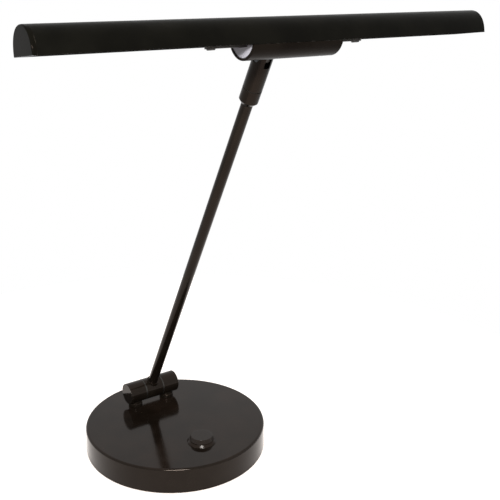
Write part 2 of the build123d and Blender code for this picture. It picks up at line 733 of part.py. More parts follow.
with BuildPart() as head_tongue:
    with BuildSketch(SECTION.offset(-TONGUE_W / 2)):
        with Locations((EYE_V, EYE_W)):
            Circle(EYE_R)
        with BuildLine():
            Polyline(
                (EYE_V, EYE_W + TONGUE_HALF),
                (0, ROOT_MID + TONGUE_HALF),
                (0, ROOT_MID - TONGUE_HALF + ROOT_TAPER),
                (EYE_V, EYE_W - TONGUE_HALF),
                close=True,
            )
        make_face()
    extrude(amount=TONGUE_W)
    with BuildSketch(SECTION.offset(-ROOT_X)):
        with Locations((0, (ROOT_BOTTOM + BAR_BOTTOM) / 2)):
            Rectangle(2 * ROOT_V, BAR_BOTTOM - ROOT_BOTTOM)
    extrude(amount=2 * ROOT_X)
    with BuildSketch(PIVOT.offset(-TONGUE_W / 2)):
        Circle(BOLT_R + FIT)
    extrude(amount=TONGUE_W, mode=Mode.SUBTRACT)
    with BuildSketch(SECTION.offset(-LEAD_R - LEAD_ROOM)):
        with BuildLine():
            Polyline(
                (GROOVE_START_V, LEAD_W + LEAD_R + LEAD_ROOM),
                (GROOVE_START_V, LEAD_W - GROOVE_DROP),
                (GROOVE_END_V, GROOVE_END_W[0]),
                (GROOVE_END_V, GROOVE_END_W[1]),
                close=True,
            )
        make_face()
    extrude(amount=2 * (LEAD_R + LEAD_ROOM), mode=Mode.SUBTRACT)
    with BuildSketch(SECTION.offset(-TONGUE_W / 2)):
        with Locations((GROOVE_START_V + ENTRY_W / 2, LEAD_W)):
            Rectangle(ENTRY_W, 2 * (LEAD_R + LEAD_ROOM))
    extrude(amount=TONGUE_W / 2, mode=Mode.SUBTRACT)
    with BuildSketch(HEAD.offset(SCREW_DEPTH)):
        with Locations((-TONGUE_SCREW_X, 0), (TONGUE_SCREW_X, 0)):
            Circle(SMALL_SCREW_R + FIT)
    extrude(amount=BAR_BOTTOM - ROOT_BOTTOM, mode=Mode.SUBTRACT)
write(head_tongue.part, "head_tongue")

BAR_CORNER = 5.5
BAR_HEAD_R = 3.2
BAR_HEAD_H = 1
BAR_HEAD_CHAMFER = 0.5
BAR_SOCKET = 1.2
BAR_SOCKET_DEPTH = 0.8
SPACER_R = 2.6
SPACER_SLACK = 0.2
CARRIER_W = 8
CARRIER_T = 2
LED_LEAD_X = -20
HOUSING_SCREW_X = 30
HOUSING_SCREW_R = 1.25

with BuildPart() as mounting_bar:
    with BuildSketch(HEAD.offset(BAR_BOTTOM)):
        RectangleRounded(2 * BAR_HALF, 2 * BAR_V, BAR_CORNER)
        with Locations((-BAR_SCREW_X, 0), (BAR_SCREW_X, 0)):
            Circle(SMALL_SCREW_R + SMALL_SCREW_SLACK, mode=Mode.SUBTRACT)
        with Locations((-TONGUE_SCREW_X, 0), (TONGUE_SCREW_X, 0)):
            Circle(SMALL_SCREW_R + SMALL_SCREW_SLACK, mode=Mode.SUBTRACT)
        with Locations((LED_LEAD_X, 0)):
            Circle(LEAD_R + LEAD_ROOM, mode=Mode.SUBTRACT)
        with Locations((-HOUSING_SCREW_X, HOUSING_CENTRE[0]), (HOUSING_SCREW_X, HOUSING_CENTRE[0])):
            Circle(HOUSING_SCREW_R + FIT, mode=Mode.SUBTRACT)
    extrude(amount=BAR_TOP - BAR_BOTTOM)
write(mounting_bar.part, "mounting_bar")

with BuildPart() as tongue_screws:
    with BuildSketch(HEAD.offset(SCREW_DEPTH + GAP)):
        with Locations((-TONGUE_SCREW_X, 0), (TONGUE_SCREW_X, 0)):
            Circle(SMALL_SCREW_R)
    extrude(amount=BAR_TOP - ROOT_BOTTOM)
    with BuildSketch(HEAD.offset(BAR_TOP)):
        with Locations((-TONGUE_SCREW_X, 0), (TONGUE_SCREW_X, 0)):
            Circle(TONGUE_HEAD_R)
    extrude(amount=TONGUE_HEAD_H)
    with BuildSketch(HEAD.offset(BAR_TOP + TONGUE_HEAD_H)):
        with Locations((-TONGUE_SCREW_X, 0), (TONGUE_SCREW_X, 0)):
            Rectangle(*DRIVER_SLOT)
    extrude(amount=-CROSS_DEPTH, mode=Mode.SUBTRACT)
write(tongue_screws.part, "tongue_screws")

with BuildPart() as bar_screws:
    with BuildSketch(HEAD.offset(BAR_BOTTOM)):
        with Locations((-BAR_SCREW_X, 0), (BAR_SCREW_X, 0)):
            Circle(BAR_HEAD_R)
    extrude(amount=-BAR_HEAD_H)
    chamfer(bar_screws.edges().filter_by(GeomType.CIRCLE).group_by(Axis.Z)[0], BAR_HEAD_CHAMFER)
    with BuildSketch(HEAD.offset(BAR_BOTTOM - BAR_HEAD_H)):
        with Locations((-BAR_SCREW_X, 0), (BAR_SCREW_X, 0)):
            RegularPolygon(BAR_SOCKET, 6, major_radius=False)
    extrude(amount=BAR_SOCKET_DEPTH, mode=Mode.SUBTRACT)
    with BuildSketch(HEAD.offset(BAR_BOTTOM)):
        with Locations((-BAR_SCREW_X, 0), (BAR_SCREW_X, 0)):
            Circle(SMALL_SCREW_R)
    extrude(amount=CARRIER_W + CARRIER_T + 1 - BAR_BOTTOM)
write(bar_screws.part, "bar_screws")

with BuildPart() as bar_spacers:
    with BuildSketch(HEAD.offset(BAR_TOP)):
        with Locations((-BAR_SCREW_X, 0), (BAR_SCREW_X, 0)):
            Circle(SPACER_R)
            Circle(SMALL_SCREW_R + SMALL_SCREW_SLACK, mode=Mode.SUBTRACT)
    extrude(amount=CARRIER_W - BAR_TOP)
write(bar_spacers.part, "bar_spacers")

# ---- Housing under the middle of the shade ----
HOUSING_TOP = -0.3
PLUG_T = 1.5
PLUG_INSET = 0.8
HOUSING_FLOOR = HOUSING_CENTRE[1] - HOUSING_R
HOUSING_RIM = 0.5
HOUSING_HEAD_R = 2.2
HOUSING_HEAD_H = 0.8
HEAD_RECESS = 1.1      # depth of the counterbore that hides a screw head
TONGUE_MOUTH_V = 11.4  # middle of the slot that the tongue enters by
TONGUE_MOUTH_W = -5.5
TONGUE_MOUTH = (14.6, 7.8)
TONGUE_SLACK = 0.4

with BuildPart() as driver_housing:
    with BuildSketch(SECTION.offset(-HOUSING_HALF)):
        with Locations(HOUSING_CENTRE):
            Circle(HOUSING_R)
            Circle(HOUSING_R - HOUSING_WALL, mode=Mode.SUBTRACT)
        with Locations((0, HOUSING_TOP + HOUSING_R)):
            Rectangle(4 * HOUSING_R, 2 * HOUSING_R, mode=Mode.SUBTRACT)
    extrude(amount=2 * HOUSING_HALF)
    fillet(driver_housing.faces().sort_by(Axis.X)[0].outer_wire().edges().filter_by(GeomType.CIRCLE)
           .sort_by(SortBy.LENGTH)[-1], HOUSING_RIM)
    fillet(driver_housing.faces().sort_by(Axis.X)[-1].outer_wire().edges().filter_by(GeomType.CIRCLE)
           .sort_by(SortBy.LENGTH)[-1], HOUSING_RIM)
    with BuildSketch(SECTION.offset(-TONGUE_W / 2 - TONGUE_SLACK)):
        with Locations((TONGUE_MOUTH_V, TONGUE_MOUTH_W)):
            Rectangle(*TONGUE_MOUTH)
    extrude(amount=TONGUE_W + 2 * TONGUE_SLACK, mode=Mode.SUBTRACT)
    with BuildSketch(HEAD.offset(HOUSING_FLOOR - HEAD_RECESS)):
        with Locations((-HOUSING_SCREW_X, HOUSING_CENTRE[0]), (HOUSING_SCREW_X, HOUSING_CENTRE[0])):
            Circle(HOUSING_HEAD_R + SPACER_SLACK)
    extrude(amount=2 * HEAD_RECESS, mode=Mode.SUBTRACT)
    with BuildSketch(HEAD.offset(HOUSING_FLOOR)):
        with Locations((-HOUSING_SCREW_X, HOUSING_CENTRE[0]), (HOUSING_SCREW_X, HOUSING_CENTRE[0])):
            Circle(HOUSING_SCREW_R + SMALL_SCREW_SLACK)
    extrude(amount=HOUSING_R / 2, mode=Mode.SUBTRACT)
write(driver_housing.part, "driver_housing")

with BuildPart() as housing_screws:
    with BuildSketch(HEAD.offset(HOUSING_FLOOR + HEAD_RECESS)):
        with Locations((-HOUSING_SCREW_X, HOUSING_CENTRE[0]), (HOUSING_SCREW_X, HOUSING_CENTRE[0])):
            Circle(HOUSING_HEAD_R)
    extrude(amount=-HOUSING_HEAD_H)
    with BuildSketch(HEAD.offset(HOUSING_FLOOR + HEAD_RECESS - HOUSING_HEAD_H)):
        with Locations((-HOUSING_SCREW_X, HOUSING_CENTRE[0]), (HOUSING_SCREW_X, HOUSING_CENTRE[0])):
            Rectangle(*DRIVER_SLOT)
    extrude(amount=HOUSING_HEAD_H / 2, mode=Mode.SUBTRACT)
    with BuildSketch(HEAD.offset(HOUSING_FLOOR + HEAD_RECESS)):
        with Locations((-HOUSING_SCREW_X, HOUSING_CENTRE[0]), (HOUSING_SCREW_X, HOUSING_CENTRE[0])):
            Circle(HOUSING_SCREW_R)
    extrude(amount=BAR_TOP - 0.2 - HOUSING_FLOOR - HEAD_RECESS)
write(housing_screws.part, "housing_screws")


def make_housing_end(side, name):
    """Pale plug in one end of the housing, notched round the mounting bar."""
    with BuildPart() as plug:
        with BuildSketch(SECTION.offset(side * (HOUSING_HALF - PLUG_INSET))):
            with Locations(HOUSING_CENTRE):
                Circle(HOUSING_R - HOUSING_WALL)
            with Locations((0, HOUSING_TOP + HOUSING_R)):
                Rectangle(4 * HOUSING_R, 2 * HOUSING_R, mode=Mode.SUBTRACT)
            with Locations((0, BAR_BOTTOM - GAP + BAR_V)):
                Rectangle(2 * (BAR_V + GAP), 2 * BAR_V, mode=Mode.SUBTRACT)
        extrude(amount=-side * PLUG_T)
    write(plug.part, name)


make_housing_end(-1, "housing_end_left")
make_housing_end(1, "housing_end_right")

DRIVER_X = (-27, -10)
DRIVER_HALF_V = 7.4
DRIVER_CORNER = 0.5
DRIVER_LOW = -5.3
DRIVER_HIGH = BAR_BOTTOM - 0.2

with BuildPart() as led_driver:
    with BuildSketch(HEAD.offset(DRIVER_LOW)):
        with Locations(((DRIVER_X[0] + DRIVER_X[1]) / 2, 0)):
            Rectangle(DRIVER_X[1] - DRIVER_X[0], 2 * DRIVER_HALF_V)
    extrude(amount=DRIVER_HIGH - DRIVER_LOW)
    fillet(led_driver.edges().group_by(Axis.Z)[0], DRIVER_CORNER)
write(led_driver.part, "led_driver")

# ---- Shade ----
# The arch is |v / half|^p + (w / height)^p = 1, as far round as the lips. Rails inside carry the LED
# carrier and the diffuser.
ARCH_POINTS = 8
SHELL_HALF = SHADE_L / 2 - END_CAP
DIFFUSER_W = 3
DIFFUSER_T = 1.6
DIFFUSER_HALF = 14.1
RAILS = (              # inner and outer reach from the middle, then bottom and top
    (13.2, 15.0, 1.7, 2.8),
    (13.0, 14.8, 4.8, 5.8),
    (12.0, 14.4, 6.8, 7.8),
    (11.4, 13.6, 10.2, 11.2),
)
CAP_FILLET = 1
CAP_PLUG_L = 3.5
CAP_PLUG_W = 12        # the plug fills the arch from this height up
PLUG_FIT = 0.2


def arch_point(half, height, turn):
    """Point of the arch at a turn from 0, the back lip, to 1, the crown."""
    angle = turn * pi / 2
    return (half * cos(angle) ** (2 / SHADE_POWER), height * sin(angle) ** (2 / SHADE_POWER))


def make_arch(half, height):
    """Closed outline of the arch, flat along the lips."""
    back = [arch_point(half, height, k / ARCH_POINTS) for k in range(ARCH_POINTS)] + [(0, height)]
    front = [(-v, w) for v, w in back]
    with BuildSketch() as outline:
        with BuildLine():
            Spline(back, tangents=[(0, 1), (-1, 0)])
            Spline(front, tangents=[(0, 1), (1, 0)])
            Line((-half, 0), (half, 0))
        make_face()
    return outline.sketch


OUTER_ARCH = make_arch(SHADE_HALF, SHADE_H)
INNER_ARCH = make_arch(SHADE_HALF - SHADE_WALL, SHADE_H - SHADE_WALL)
PLUG_ARCH = make_arch(SHADE_HALF - SHADE_WALL - PLUG_FIT, SHADE_H - SHADE_WALL - PLUG_FIT)

with BuildPart() as shade_shell:
    with BuildSketch(SECTION.offset(-SHELL_HALF)):
        add(OUTER_ARCH)
    extrude(amount=2 * SHELL_HALF)
    with BuildSketch(SECTION.offset(-SHELL_HALF)):
        add(INNER_ARCH)
    extrude(amount=2 * SHELL_HALF, mode=Mode.SUBTRACT)
    for side in (-1, 1):
        with BuildSketch(SECTION.offset(-SHELL_HALF)):
            for inner, outer, low, high in RAILS:
                with Locations((side * (inner + outer) / 2, (low + high) / 2)):
                    Rectangle(outer - inner, high - low)
        extrude(amount=2 * SHELL_HALF)
write(shade_shell.part, "shade_shell")


def make_shade_cap(side, name):
    """End cap: the whole arch with a rounded rim, and a plug that fits in the crown of the shell."""
    with BuildPart() as cap:
        with BuildSketch(SECTION.offset(side * SHELL_HALF)):
            add(OUTER_ARCH)
        extrude(amount=side * END_CAP)
        rim = cap.faces().sort_by(Axis.X)[-1 if side > 0 else 0].edges()
        fillet(rim, CAP_FILLET)
        with BuildSketch(SECTION.offset(side * SHELL_HALF)):
            add(PLUG_ARCH)
            Rectangle(4 * SHADE_HALF, 2 * CAP_PLUG_W, mode=Mode.SUBTRACT)
        extrude(amount=-side * CAP_PLUG_L)
    write(cap.part, name)


make_shade_cap(-1, "shade_cap_left")
make_shade_cap(1, "shade_cap_right")

# ---- LEDs ----
CARRIER_HALF = 195
CARRIER_V = 12.4
STRIP_HALF = 193.5
STRIP_V = 5
STRIP_T = 1.4
LED_PITCH = 16.5
LED_H = 0.9
LED_SIZE = (3.5, 2.8)
LED_XS = [(k - (LED_COUNT - 1) / 2) * LED_PITCH for k in range(LED_COUNT)]

with BuildPart() as led_carrier:
    with BuildSketch(HEAD.offset(CARRIER_W)):
        Rectangle(2 * CARRIER_HALF, 2 * CARRIER_V)
        with Locations((-BAR_SCREW_X, 0), (BAR_SCREW_X, 0)):
            Circle(SMALL_SCREW_R + FIT, mode=Mode.SUBTRACT)
    extrude(amount=CARRIER_T)
write(led_carrier.part, "led_carrier")

with BuildPart() as led_board:
    with BuildSketch(HEAD.offset(CARRIER_W - STRIP_T)):
        Rectangle(2 * STRIP_HALF, 2 * STRIP_V)
        with Locations((-BAR_SCREW_X, 0), (BAR_SCREW_X, 0)):
            Circle(SPACER_R + SPACER_SLACK, mode=Mode.SUBTRACT)
    extrude(amount=STRIP_T)
write(led_board.part, "led_board")

with BuildPart() as leds:
    with BuildSketch(HEAD.offset(CARRIER_W - STRIP_T - LED_H)):
        with Locations([(x, 0) for x in LED_XS]):
            Rectangle(*LED_SIZE)
    extrude(amount=LED_H)
write(leds.part, "leds")

with BuildPart() as diffuser:
    with BuildSketch(HEAD.offset(DIFFUSER_W)):
        Rectangle(2 * CARRIER_HALF, 2 * DIFFUSER_HALF)
        with Locations((-BAR_SCREW_X, 0), (BAR_SCREW_X, 0)):
            Circle(SPACER_R + SPACER_SLACK, mode=Mode.SUBTRACT)
        with Locations((LED_LEAD_X, 0)):
            Circle(LEAD_R + LEAD_ROOM, mode=Mode.SUBTRACT)
    extrude(amount=DIFFUSER_T)
write(diffuser.part, "diffuser")

# ---- Leads ----
# Each run stays inside the lamp and ends at the joint that it crosses.


def make_lead(name, points, radii):
    """Round lead along straight runs joined by arcs."""
    start = Plane(origin=points[0], z_dir=Vector(*points[1]) - Vector(*points[0]))
    with BuildPart() as lead:
        with BuildLine() as route:
            if radii:
                FilletPolyline(*points, radius=radii)
            else:
                Line(*points)
        with BuildSketch(start):
            Circle(LEAD_R)
        sweep(path=route.wire())
    print(name, "radii", radii, "length", round(route.wire().length, 1))
    write(lead.part, name)


LEAD_Z = WEIGHT_TOP + 2
PIN_EXIT = PIN_R - 0.4     # where the base lead ends, inside the hollow pin
JOINT_GAP = 0.1            # leads that meet at a joint stand this far from it
make_lead(
    "supply_lead",
    [(0, INLET_INNER, INLET_Z), (0, 70, INLET_Z), (-3, 58, LEAD_Z), (-8, 38, LEAD_Z + 0.6),
     (-TERMINAL_X, 5, LEAD_Z), (-TERMINAL_X, TERMINAL_Y + TERMINAL_L / 2, LEAD_Z)],
    [12, 24, 60, 100],
)


def arm_point(distance, front=0):
    return tuple(ARM.from_local_coords((0, -front, distance)))


make_lead(
    "base_lead",
    [(TERMINAL_X, TERMINAL_Y + TERMINAL_L / 2, LEAD_Z), (TERMINAL_X, -5, LEAD_Z),
     (POST_X - 1, 32, LEAD_Z + 0.2), (POST_X, HINGE_Y - 9, 10), (POST_X, HINGE_Y, 9), (POST_X, HINGE_Y, HINGE_Z),
     (0, HINGE_Y, HINGE_Z), arm_point(PIN_EXIT)],
    [90, 10, 6, 3.6, 5, 2.2],
)
make_lead("arm_lead", [arm_point(PIN_R + LEAD_ROOM), arm_point(STUD_START - JOINT_GAP)], None)
LEAD_FRONT = WAY_FRONT - LEAD_R - LEAD_ROOM
make_lead(
    "fork_lead",
    [arm_point(STUD_START + JOINT_GAP), arm_point(WAY_START + 1.6),
     arm_point(SLOT_START - 2, LEAD_FRONT), arm_point(SLOT_START, LEAD_FRONT)],
    [2.2, 2.2],
)


def head_point(x, v, w):
    return tuple(SECTION.from_local_coords((v, w, x)))


make_lead(
    "head_lead",
    [head_point(DRIVER_X[1], LEAD_V, LEAD_W), head_point(0, LEAD_V, LEAD_W),
     head_point(0, GROOVE_END_V - 0.5, LEAD_W - 3)],
    [2.4],
)
make_lead(
    "led_lead",
    [head_point(LED_LEAD_X, 0, DRIVER_HIGH), head_point(LED_LEAD_X, 0, CARRIER_W - STRIP_T)],
    None,
)
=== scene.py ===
"""Finishes, small moulded details and studio for a piano lamp with a slim shade on a leaning arm.

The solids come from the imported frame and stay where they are. This add-on gives every one its
finish, models the pieces that need a finer form than a machined solid, and sets up the studio.
"""

import math

import bmesh
import bpy
from mathutils import Matrix, Vector


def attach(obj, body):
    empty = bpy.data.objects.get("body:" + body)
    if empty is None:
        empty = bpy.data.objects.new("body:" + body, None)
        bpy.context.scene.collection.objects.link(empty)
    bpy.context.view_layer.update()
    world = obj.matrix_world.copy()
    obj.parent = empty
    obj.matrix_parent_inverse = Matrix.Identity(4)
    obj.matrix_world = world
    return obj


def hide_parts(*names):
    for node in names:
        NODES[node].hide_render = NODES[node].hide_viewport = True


bl_info = {
    "name": "Piano Lamp Finishes",
    "version": (1, 0, 0),
    "blender": (4, 5, 0),
    "location": "View3D > Sidebar > Piano Lamp",
    "description": "Finishes, light strip details and studio for a piano lamp",
    "category": "Material",
}

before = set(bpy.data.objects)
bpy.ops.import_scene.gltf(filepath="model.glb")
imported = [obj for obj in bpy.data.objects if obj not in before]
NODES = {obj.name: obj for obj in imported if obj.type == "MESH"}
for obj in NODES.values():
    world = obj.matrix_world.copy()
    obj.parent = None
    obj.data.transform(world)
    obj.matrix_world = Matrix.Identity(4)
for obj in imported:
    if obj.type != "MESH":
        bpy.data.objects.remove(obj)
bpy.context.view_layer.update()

# Places in metres. The head lies tilted, so its pieces are modelled flat and then turned.
HEAD_TILT = math.radians(-7.5)
HEAD_ORIGIN = Vector((0, -0.17004, 0.42243))
KNOB_CENTRE = Vector((0, -0.050, 0))

STAND_ENAMELLED = (
    "base_shell", "hinge_bracket_left", "hinge_bracket_right", "hinge_cap_left",
    "hinge_cap_right", "hinge_knuckle",
)
ARM_ENAMELLED = ("arm_tube", "arm_collar", "swivel_fork")
SHADE_CAPS = ("shade_cap_left", "shade_cap_right")
PLATED = (
    "dimmer_nut", "inlet_nut", "bracket_nuts", "bracket_washers", "hinge_pin", "hinge_nut",
    "hinge_spring_washers", "dimmer_shaft", "swivel_stud", "swivel_clip",
    "swivel_spring_washer", "bar_spacers",
)
BLACKENED = ("bottom_screws", "pivot_bolt", "pivot_nut", "tongue_screws", "bar_screws", "housing_screws")
SLIP_WASHERS = ("friction_washers", "swivel_washer", "pivot_washers", "head_tongue")
MOULDED = ("dimmer_body", "dc_inlet", "led_driver")
LEADS = ("supply_lead", "base_lead", "arm_lead", "fork_lead", "head_lead", "led_lead")

NOISE_SPAN = (0.3, 0.7)            # most values of a noise lie in here
CLEAR_MIRROR = (1, 1, 1)           # tint of what a surface mirrors
WARM_MIRROR = (1, 0.8, 0.7)

PAINTED_SHADOW_REACH = 0.012              # width of the painted contact shadow: the floor's glow fades near the lamp
FLOOR_LIFT = 0.94                  # how much of the white background the open floor shows
ROOM_REST = 0.02                   # brightness of the room where it has no wall
LAMP_COLOUR = (1.0, 0.95, 0.90)
LAMP_AIM = Vector((0, -0.04, 0.12))
STUDIO_LAMPS = (                   # name, turn and rise in degrees, distance, size, watts, mirrored
    ("key", 239.5, 33.0, 1.35, 0.66, 0.14, 30.0, True),
    ("overhead", 30.0, 66.0, 1.3, 0.9, 0.9, 3.6, False),
    ("left_fill", 188.0, 12.0, 1.8, 0.8, 0.8, 5.8, False),
)
CAMERA_PLACE = (-0.398430, -0.673303, 0.478596)
CAMERA_TURN = (36.1120, -18.7724, 0.8162)        # yaw, pitch and roll in degrees


# ---- Node and material helpers ----

def add_node(tree, kind, inputs=None, **settings):
    """Adds a node, sets its options, and fills or links its inputs by name or number."""
    node = tree.nodes.new(kind)
    for name, value in settings.items():
        setattr(node, name, value)
    for key, value in (inputs or {}).items():
        socket = node.inputs[key]
        if isinstance(value, bpy.types.NodeSocket):
            tree.links.new(value, socket)
        else:
            socket.default_value = value
    return node


def maths(tree, operation, a, b=0.0):
    """Result of one Math node with two inputs."""
    return add_node(tree, "ShaderNodeMath", {0: a, 1: b}, operation=operation).outputs[0]


def plus_share(tree, value, pattern, share):
    """A value plus a share of a pattern."""
    return maths(tree, "ADD", value, maths(tree, "MULTIPLY", pattern, share))


def object_space(tree):
    """Place on the object that is being shaded."""
    return tree.nodes.new("ShaderNodeTexCoord").outputs["Object"]


def add_noise(tree, place, scale, detail, roughness=0.5):
    """A Noise Texture node in space."""
    return add_node(
        tree, "ShaderNodeTexNoise",
        {"Vector": place, "Scale": scale, "Detail": detail, "Roughness": roughness})


def remap(tree, value, low, high, to_low, to_high, smooth=True):
    """Maps a value from one range to another, held at the ends."""
    node = add_node(
        tree, "ShaderNodeMapRange",
        {"Value": value, "From Min": low, "From Max": high, "To Min": to_low, "To Max": to_high},
        interpolation_type="SMOOTHSTEP" if smooth else "LINEAR",
    )
    return node.outputs["Result"]


def shade_between(tree, factor, dark, light):
    """Colour between two colours by a factor."""
    node = add_node(tree, "ShaderNodeMix", {"Factor": factor}, data_type="RGBA")
    node.inputs[6].default_value = (*dark, 1)
    node.inputs[7].default_value = (*light, 1)
    return node.outputs[2]


def laid_over(tree, under, mask, share, over):
    """Colour of a surface where a share of a mask lays another colour over it."""
    node = add_node(
        tree, "ShaderNodeMix", {"Factor": maths(tree, "MULTIPLY", mask, share)}, data_type="RGBA")
    tree.links.new(under, node.inputs[6])
    node.inputs[7].default_value = (*over, 1)
    return node.outputs[2]


def scaled(colour, factor):
    """A darker or lighter version of a colour."""
    return tuple(c * factor for c in colour)


def new_group(name, inputs, outputs):
    """Starts a shader node group with float or vector sockets; returns its tree, input and output nodes."""
    group = bpy.data.node_groups.new(name, "ShaderNodeTree")
    for label, default in inputs:
        kind = "NodeSocketVector" if isinstance(default, tuple) else "NodeSocketFloat"
        group.interface.new_socket(label, in_out="INPUT", socket_type=kind).default_value = default
    for label in outputs:
        group.interface.new_socket(label, in_out="OUTPUT", socket_type="NodeSocketFloat")
    return group, group.nodes.new("NodeGroupInput"), group.nodes.new("NodeGroupOutput")


def use_group(tree, maker, inputs=None):
    """Adds one of the shared node groups to a material, making the group the first time."""
    name = maker.__name__
    group = bpy.data.node_groups.get(name) or maker(name)
    node = tree.nodes.new("ShaderNodeGroup")
    node.node_tree = group
    for key, value in (inputs or {}).items():
        node.inputs[key].default_value = value
    return node


def new_material(name):
    """A material with a Principled shader; returns the material, its tree and the shader."""
    material = bpy.data.materials.new(name)
    material.use_nodes = True
    tree = material.node_tree
    tree.nodes.clear()
    shader = tree.nodes.new("ShaderNodeBsdfPrincipled")
    out = tree.nodes.new("ShaderNodeOutputMaterial")
    tree.links.new(shader.outputs[0], out.inputs["Surface"])
    return material, tree, shader


def set_colour(tree, shader, colour):
    """Feeds a colour from the nodes to the shader."""
    tree.links.new(colour, shader.inputs["Base Color"])


def set_roughness(tree, shader, pattern, low, high, span=NOISE_SPAN):
    """Feeds a roughness between two values to the shader, as a pattern goes through its span."""
    tree.links.new(remap(tree, pattern, *span, low, high), shader.inputs["Roughness"])


def set_mirror(shader, level, tint=WARM_MIRROR):
    """Sets how strongly and in which tint a surface mirrors what is around it."""
    shader.inputs["Specular IOR Level"].default_value = level
    shader.inputs["Specular Tint"].default_value = (*tint, 1)


def set_bump(tree, shader, height, depth):
    """Feeds a height of 0 to 1, times a depth in metres, to the shader's normal."""
    bump = add_node(tree, "ShaderNodeBump", {"Height": height, "Distance": depth, "Strength": 1.0})
    tree.links.new(bump.outputs[0], shader.inputs["Normal"])


def finish(names, material):
    """Gives CAD nodes their finish."""
    for name in names:
        mesh = NODES[name].data
        mesh.materials.clear()
        mesh.materials.append(material)


# ---- Shared surface effects ----

def sprayed_film(name):
    """Sprayed and baked enamel: a fine orange peel, slow thickness clouds and rare dust nibs."""
    tree, given, out = new_group(name, [("Peel Size", 0.003)], ["Peel", "Cloud", "Nibs"])
    place = object_space(tree)
    scale = maths(tree, "DIVIDE", 1.0, given.outputs["Peel Size"])
    peel = add_noise(tree, place, scale, 2.0, 0.4)
    cloud = add_noise(tree, place, 34.0, 3.0, 0.55)
    nibs = add_node(tree, "ShaderNodeTexVoronoi", {"Vector": place, "Scale": 130.0, "Randomness": 1.0})
    tree.links.new(peel.outputs["Fac"], out.inputs["Peel"])
    tree.links.new(remap(tree, cloud.outputs["Fac"], 0.32, 0.68, 0.0, 1.0), out.inputs["Cloud"])
    tree.links.new(remap(tree, nibs.outputs["Distance"], 0.03, 0.055, 1.0, 0.0), out.inputs["Nibs"])
    return tree


def rubbed_and_highlit_edges(name):
    """Mask of outside edges, broken up by a fine noise; the colour laid on it is partly rubbed wear and
    partly a painted edge highlight.
    """
    tree, given, out = new_group(name, [("Width", 0.0006)], ["Rub"])
    place = object_space(tree)
    rounded = add_node(tree, "ShaderNodeBevel", {"Radius": given.outputs["Width"]}, samples=4)
    flat = tree.nodes.new("ShaderNodeNewGeometry").outputs["Normal"]
    agree = add_node(
        tree, "ShaderNodeVectorMath", {0: rounded.outputs[0], 1: flat}, operation="DOT_PRODUCT"
    ).outputs["Value"]
    edge = remap(tree, agree, 0.80, 0.99, 1.0, 0.0)
    patch = add_noise(tree, place, 210.0, 4.0)
    patchy = remap(tree, patch.outputs["Fac"], 0.46, 0.62, 0.0, 1.0)
    tree.links.new(maths(tree, "MULTIPLY", edge, patchy), out.inputs["Rub"])
    return tree


def dust_film(name):
    """Mask of fine dust that settles on faces turned upwards, thicker in soft patches."""
    tree, _, out = new_group(name, [], ["Dust"])
    place = object_space(tree)
    up = add_node(
        tree, "ShaderNodeSeparateXYZ", {0: tree.nodes.new("ShaderNodeNewGeometry").outputs["Normal"]}
    ).outputs["Z"]
    facing = remap(tree, up, 0.45, 0.98, 0.0, 1.0)
    veil = add_noise(tree, place, 26.0, 5.0, 0.6)
    motes = add_node(tree, "ShaderNodeTexVoronoi", {"Vector": place, "Scale": 420.0, "Randomness": 1.0})
    specks = remap(tree, motes.outputs["Distance"], 0.05, 0.13, 0.9, 0.0)
    thick = remap(tree, veil.outputs["Fac"], 0.35, 0.75, 0.15, 1.0)
    even = maths(tree, "MULTIPLY", thick, 0.45)
    both = maths(tree, "MAXIMUM", even, maths(tree, "MULTIPLY", specks, thick))
    tree.links.new(maths(tree, "MULTIPLY", both, facing), out.inputs["Dust"])
    return tree


def lathe_rings(name):
    """Fine rings round an upright axis, as a cutting tool leaves them on a turned face."""
    tree, given, out = new_group(name, [("Centre", (0.0, 0.0, 0.0)), ("Pitch", 0.00035)], ["Rings"])
    place = object_space(tree)
    away = add_node(
        tree, "ShaderNodeVectorMath", {0: place, 1: given.outputs["Centre"]}, operation="SUBTRACT")
    flat = add_node(
        tree, "ShaderNodeVectorMath", {0: away.outputs[0], 1: (1.0, 1.0, 0.0)}, operation="MULTIPLY"
    )
    reach = add_node(tree, "ShaderNodeVectorMath", {0: flat.outputs[0]}, operation="LENGTH").outputs["Value"]
    turns = maths(tree, "DIVIDE", reach, given.outputs["Pitch"])
    uneven = add_node(
        tree, "ShaderNodeTexNoise", {"W": turns, "Scale": 1.0, "Detail": 2.0}, noise_dimensions="1D"
    )
    tree.links.new(uneven.outputs["Fac"], out.inputs["Rings"])
    return tree


def drawn_lines(name):
    """Long fine lines left by drawing or brushing, along the lamp's width."""
    tree, given, out = new_group(name, [("Spacing", 0.0004)], ["Lines"])
    place = object_space(tree)
    scale = maths(tree, "DIVIDE", 1.0, given.outputs["Spacing"])
    squeezed = add_node(tree, "ShaderNodeVectorMath", {0: place, 1: (0.02, 1.0, 1.0)}, operation="MULTIPLY")
    lines = add_noise(tree, squeezed.outputs[0], scale, 3.0, 0.6)
    tree.links.new(lines.outputs["Fac"], out.inputs["Lines"])
    return tree


def moulded_grain(name):
    """Spark-eroded grain of a plastic mould, with a faint mottling of gloss."""
    tree, given, out = new_group(name, [("Grain Size", 0.0006)], ["Grain", "Mottle"])
    place = object_space(tree)
    scale = maths(tree, "DIVIDE", 1.0, given.outputs["Grain Size"])
    grain = add_noise(tree, place, scale, 3.0, 0.7)
    mottle = add_noise(tree, place, 90.0, 2.0)
    tree.links.new(grain.outputs["Fac"], out.inputs["Grain"])
    tree.links.new(remap(tree, mottle.outputs["Fac"], 0.35, 0.65, 0.0, 1.0), out.inputs["Mottle"])
    return tree


# ---- Settings ----

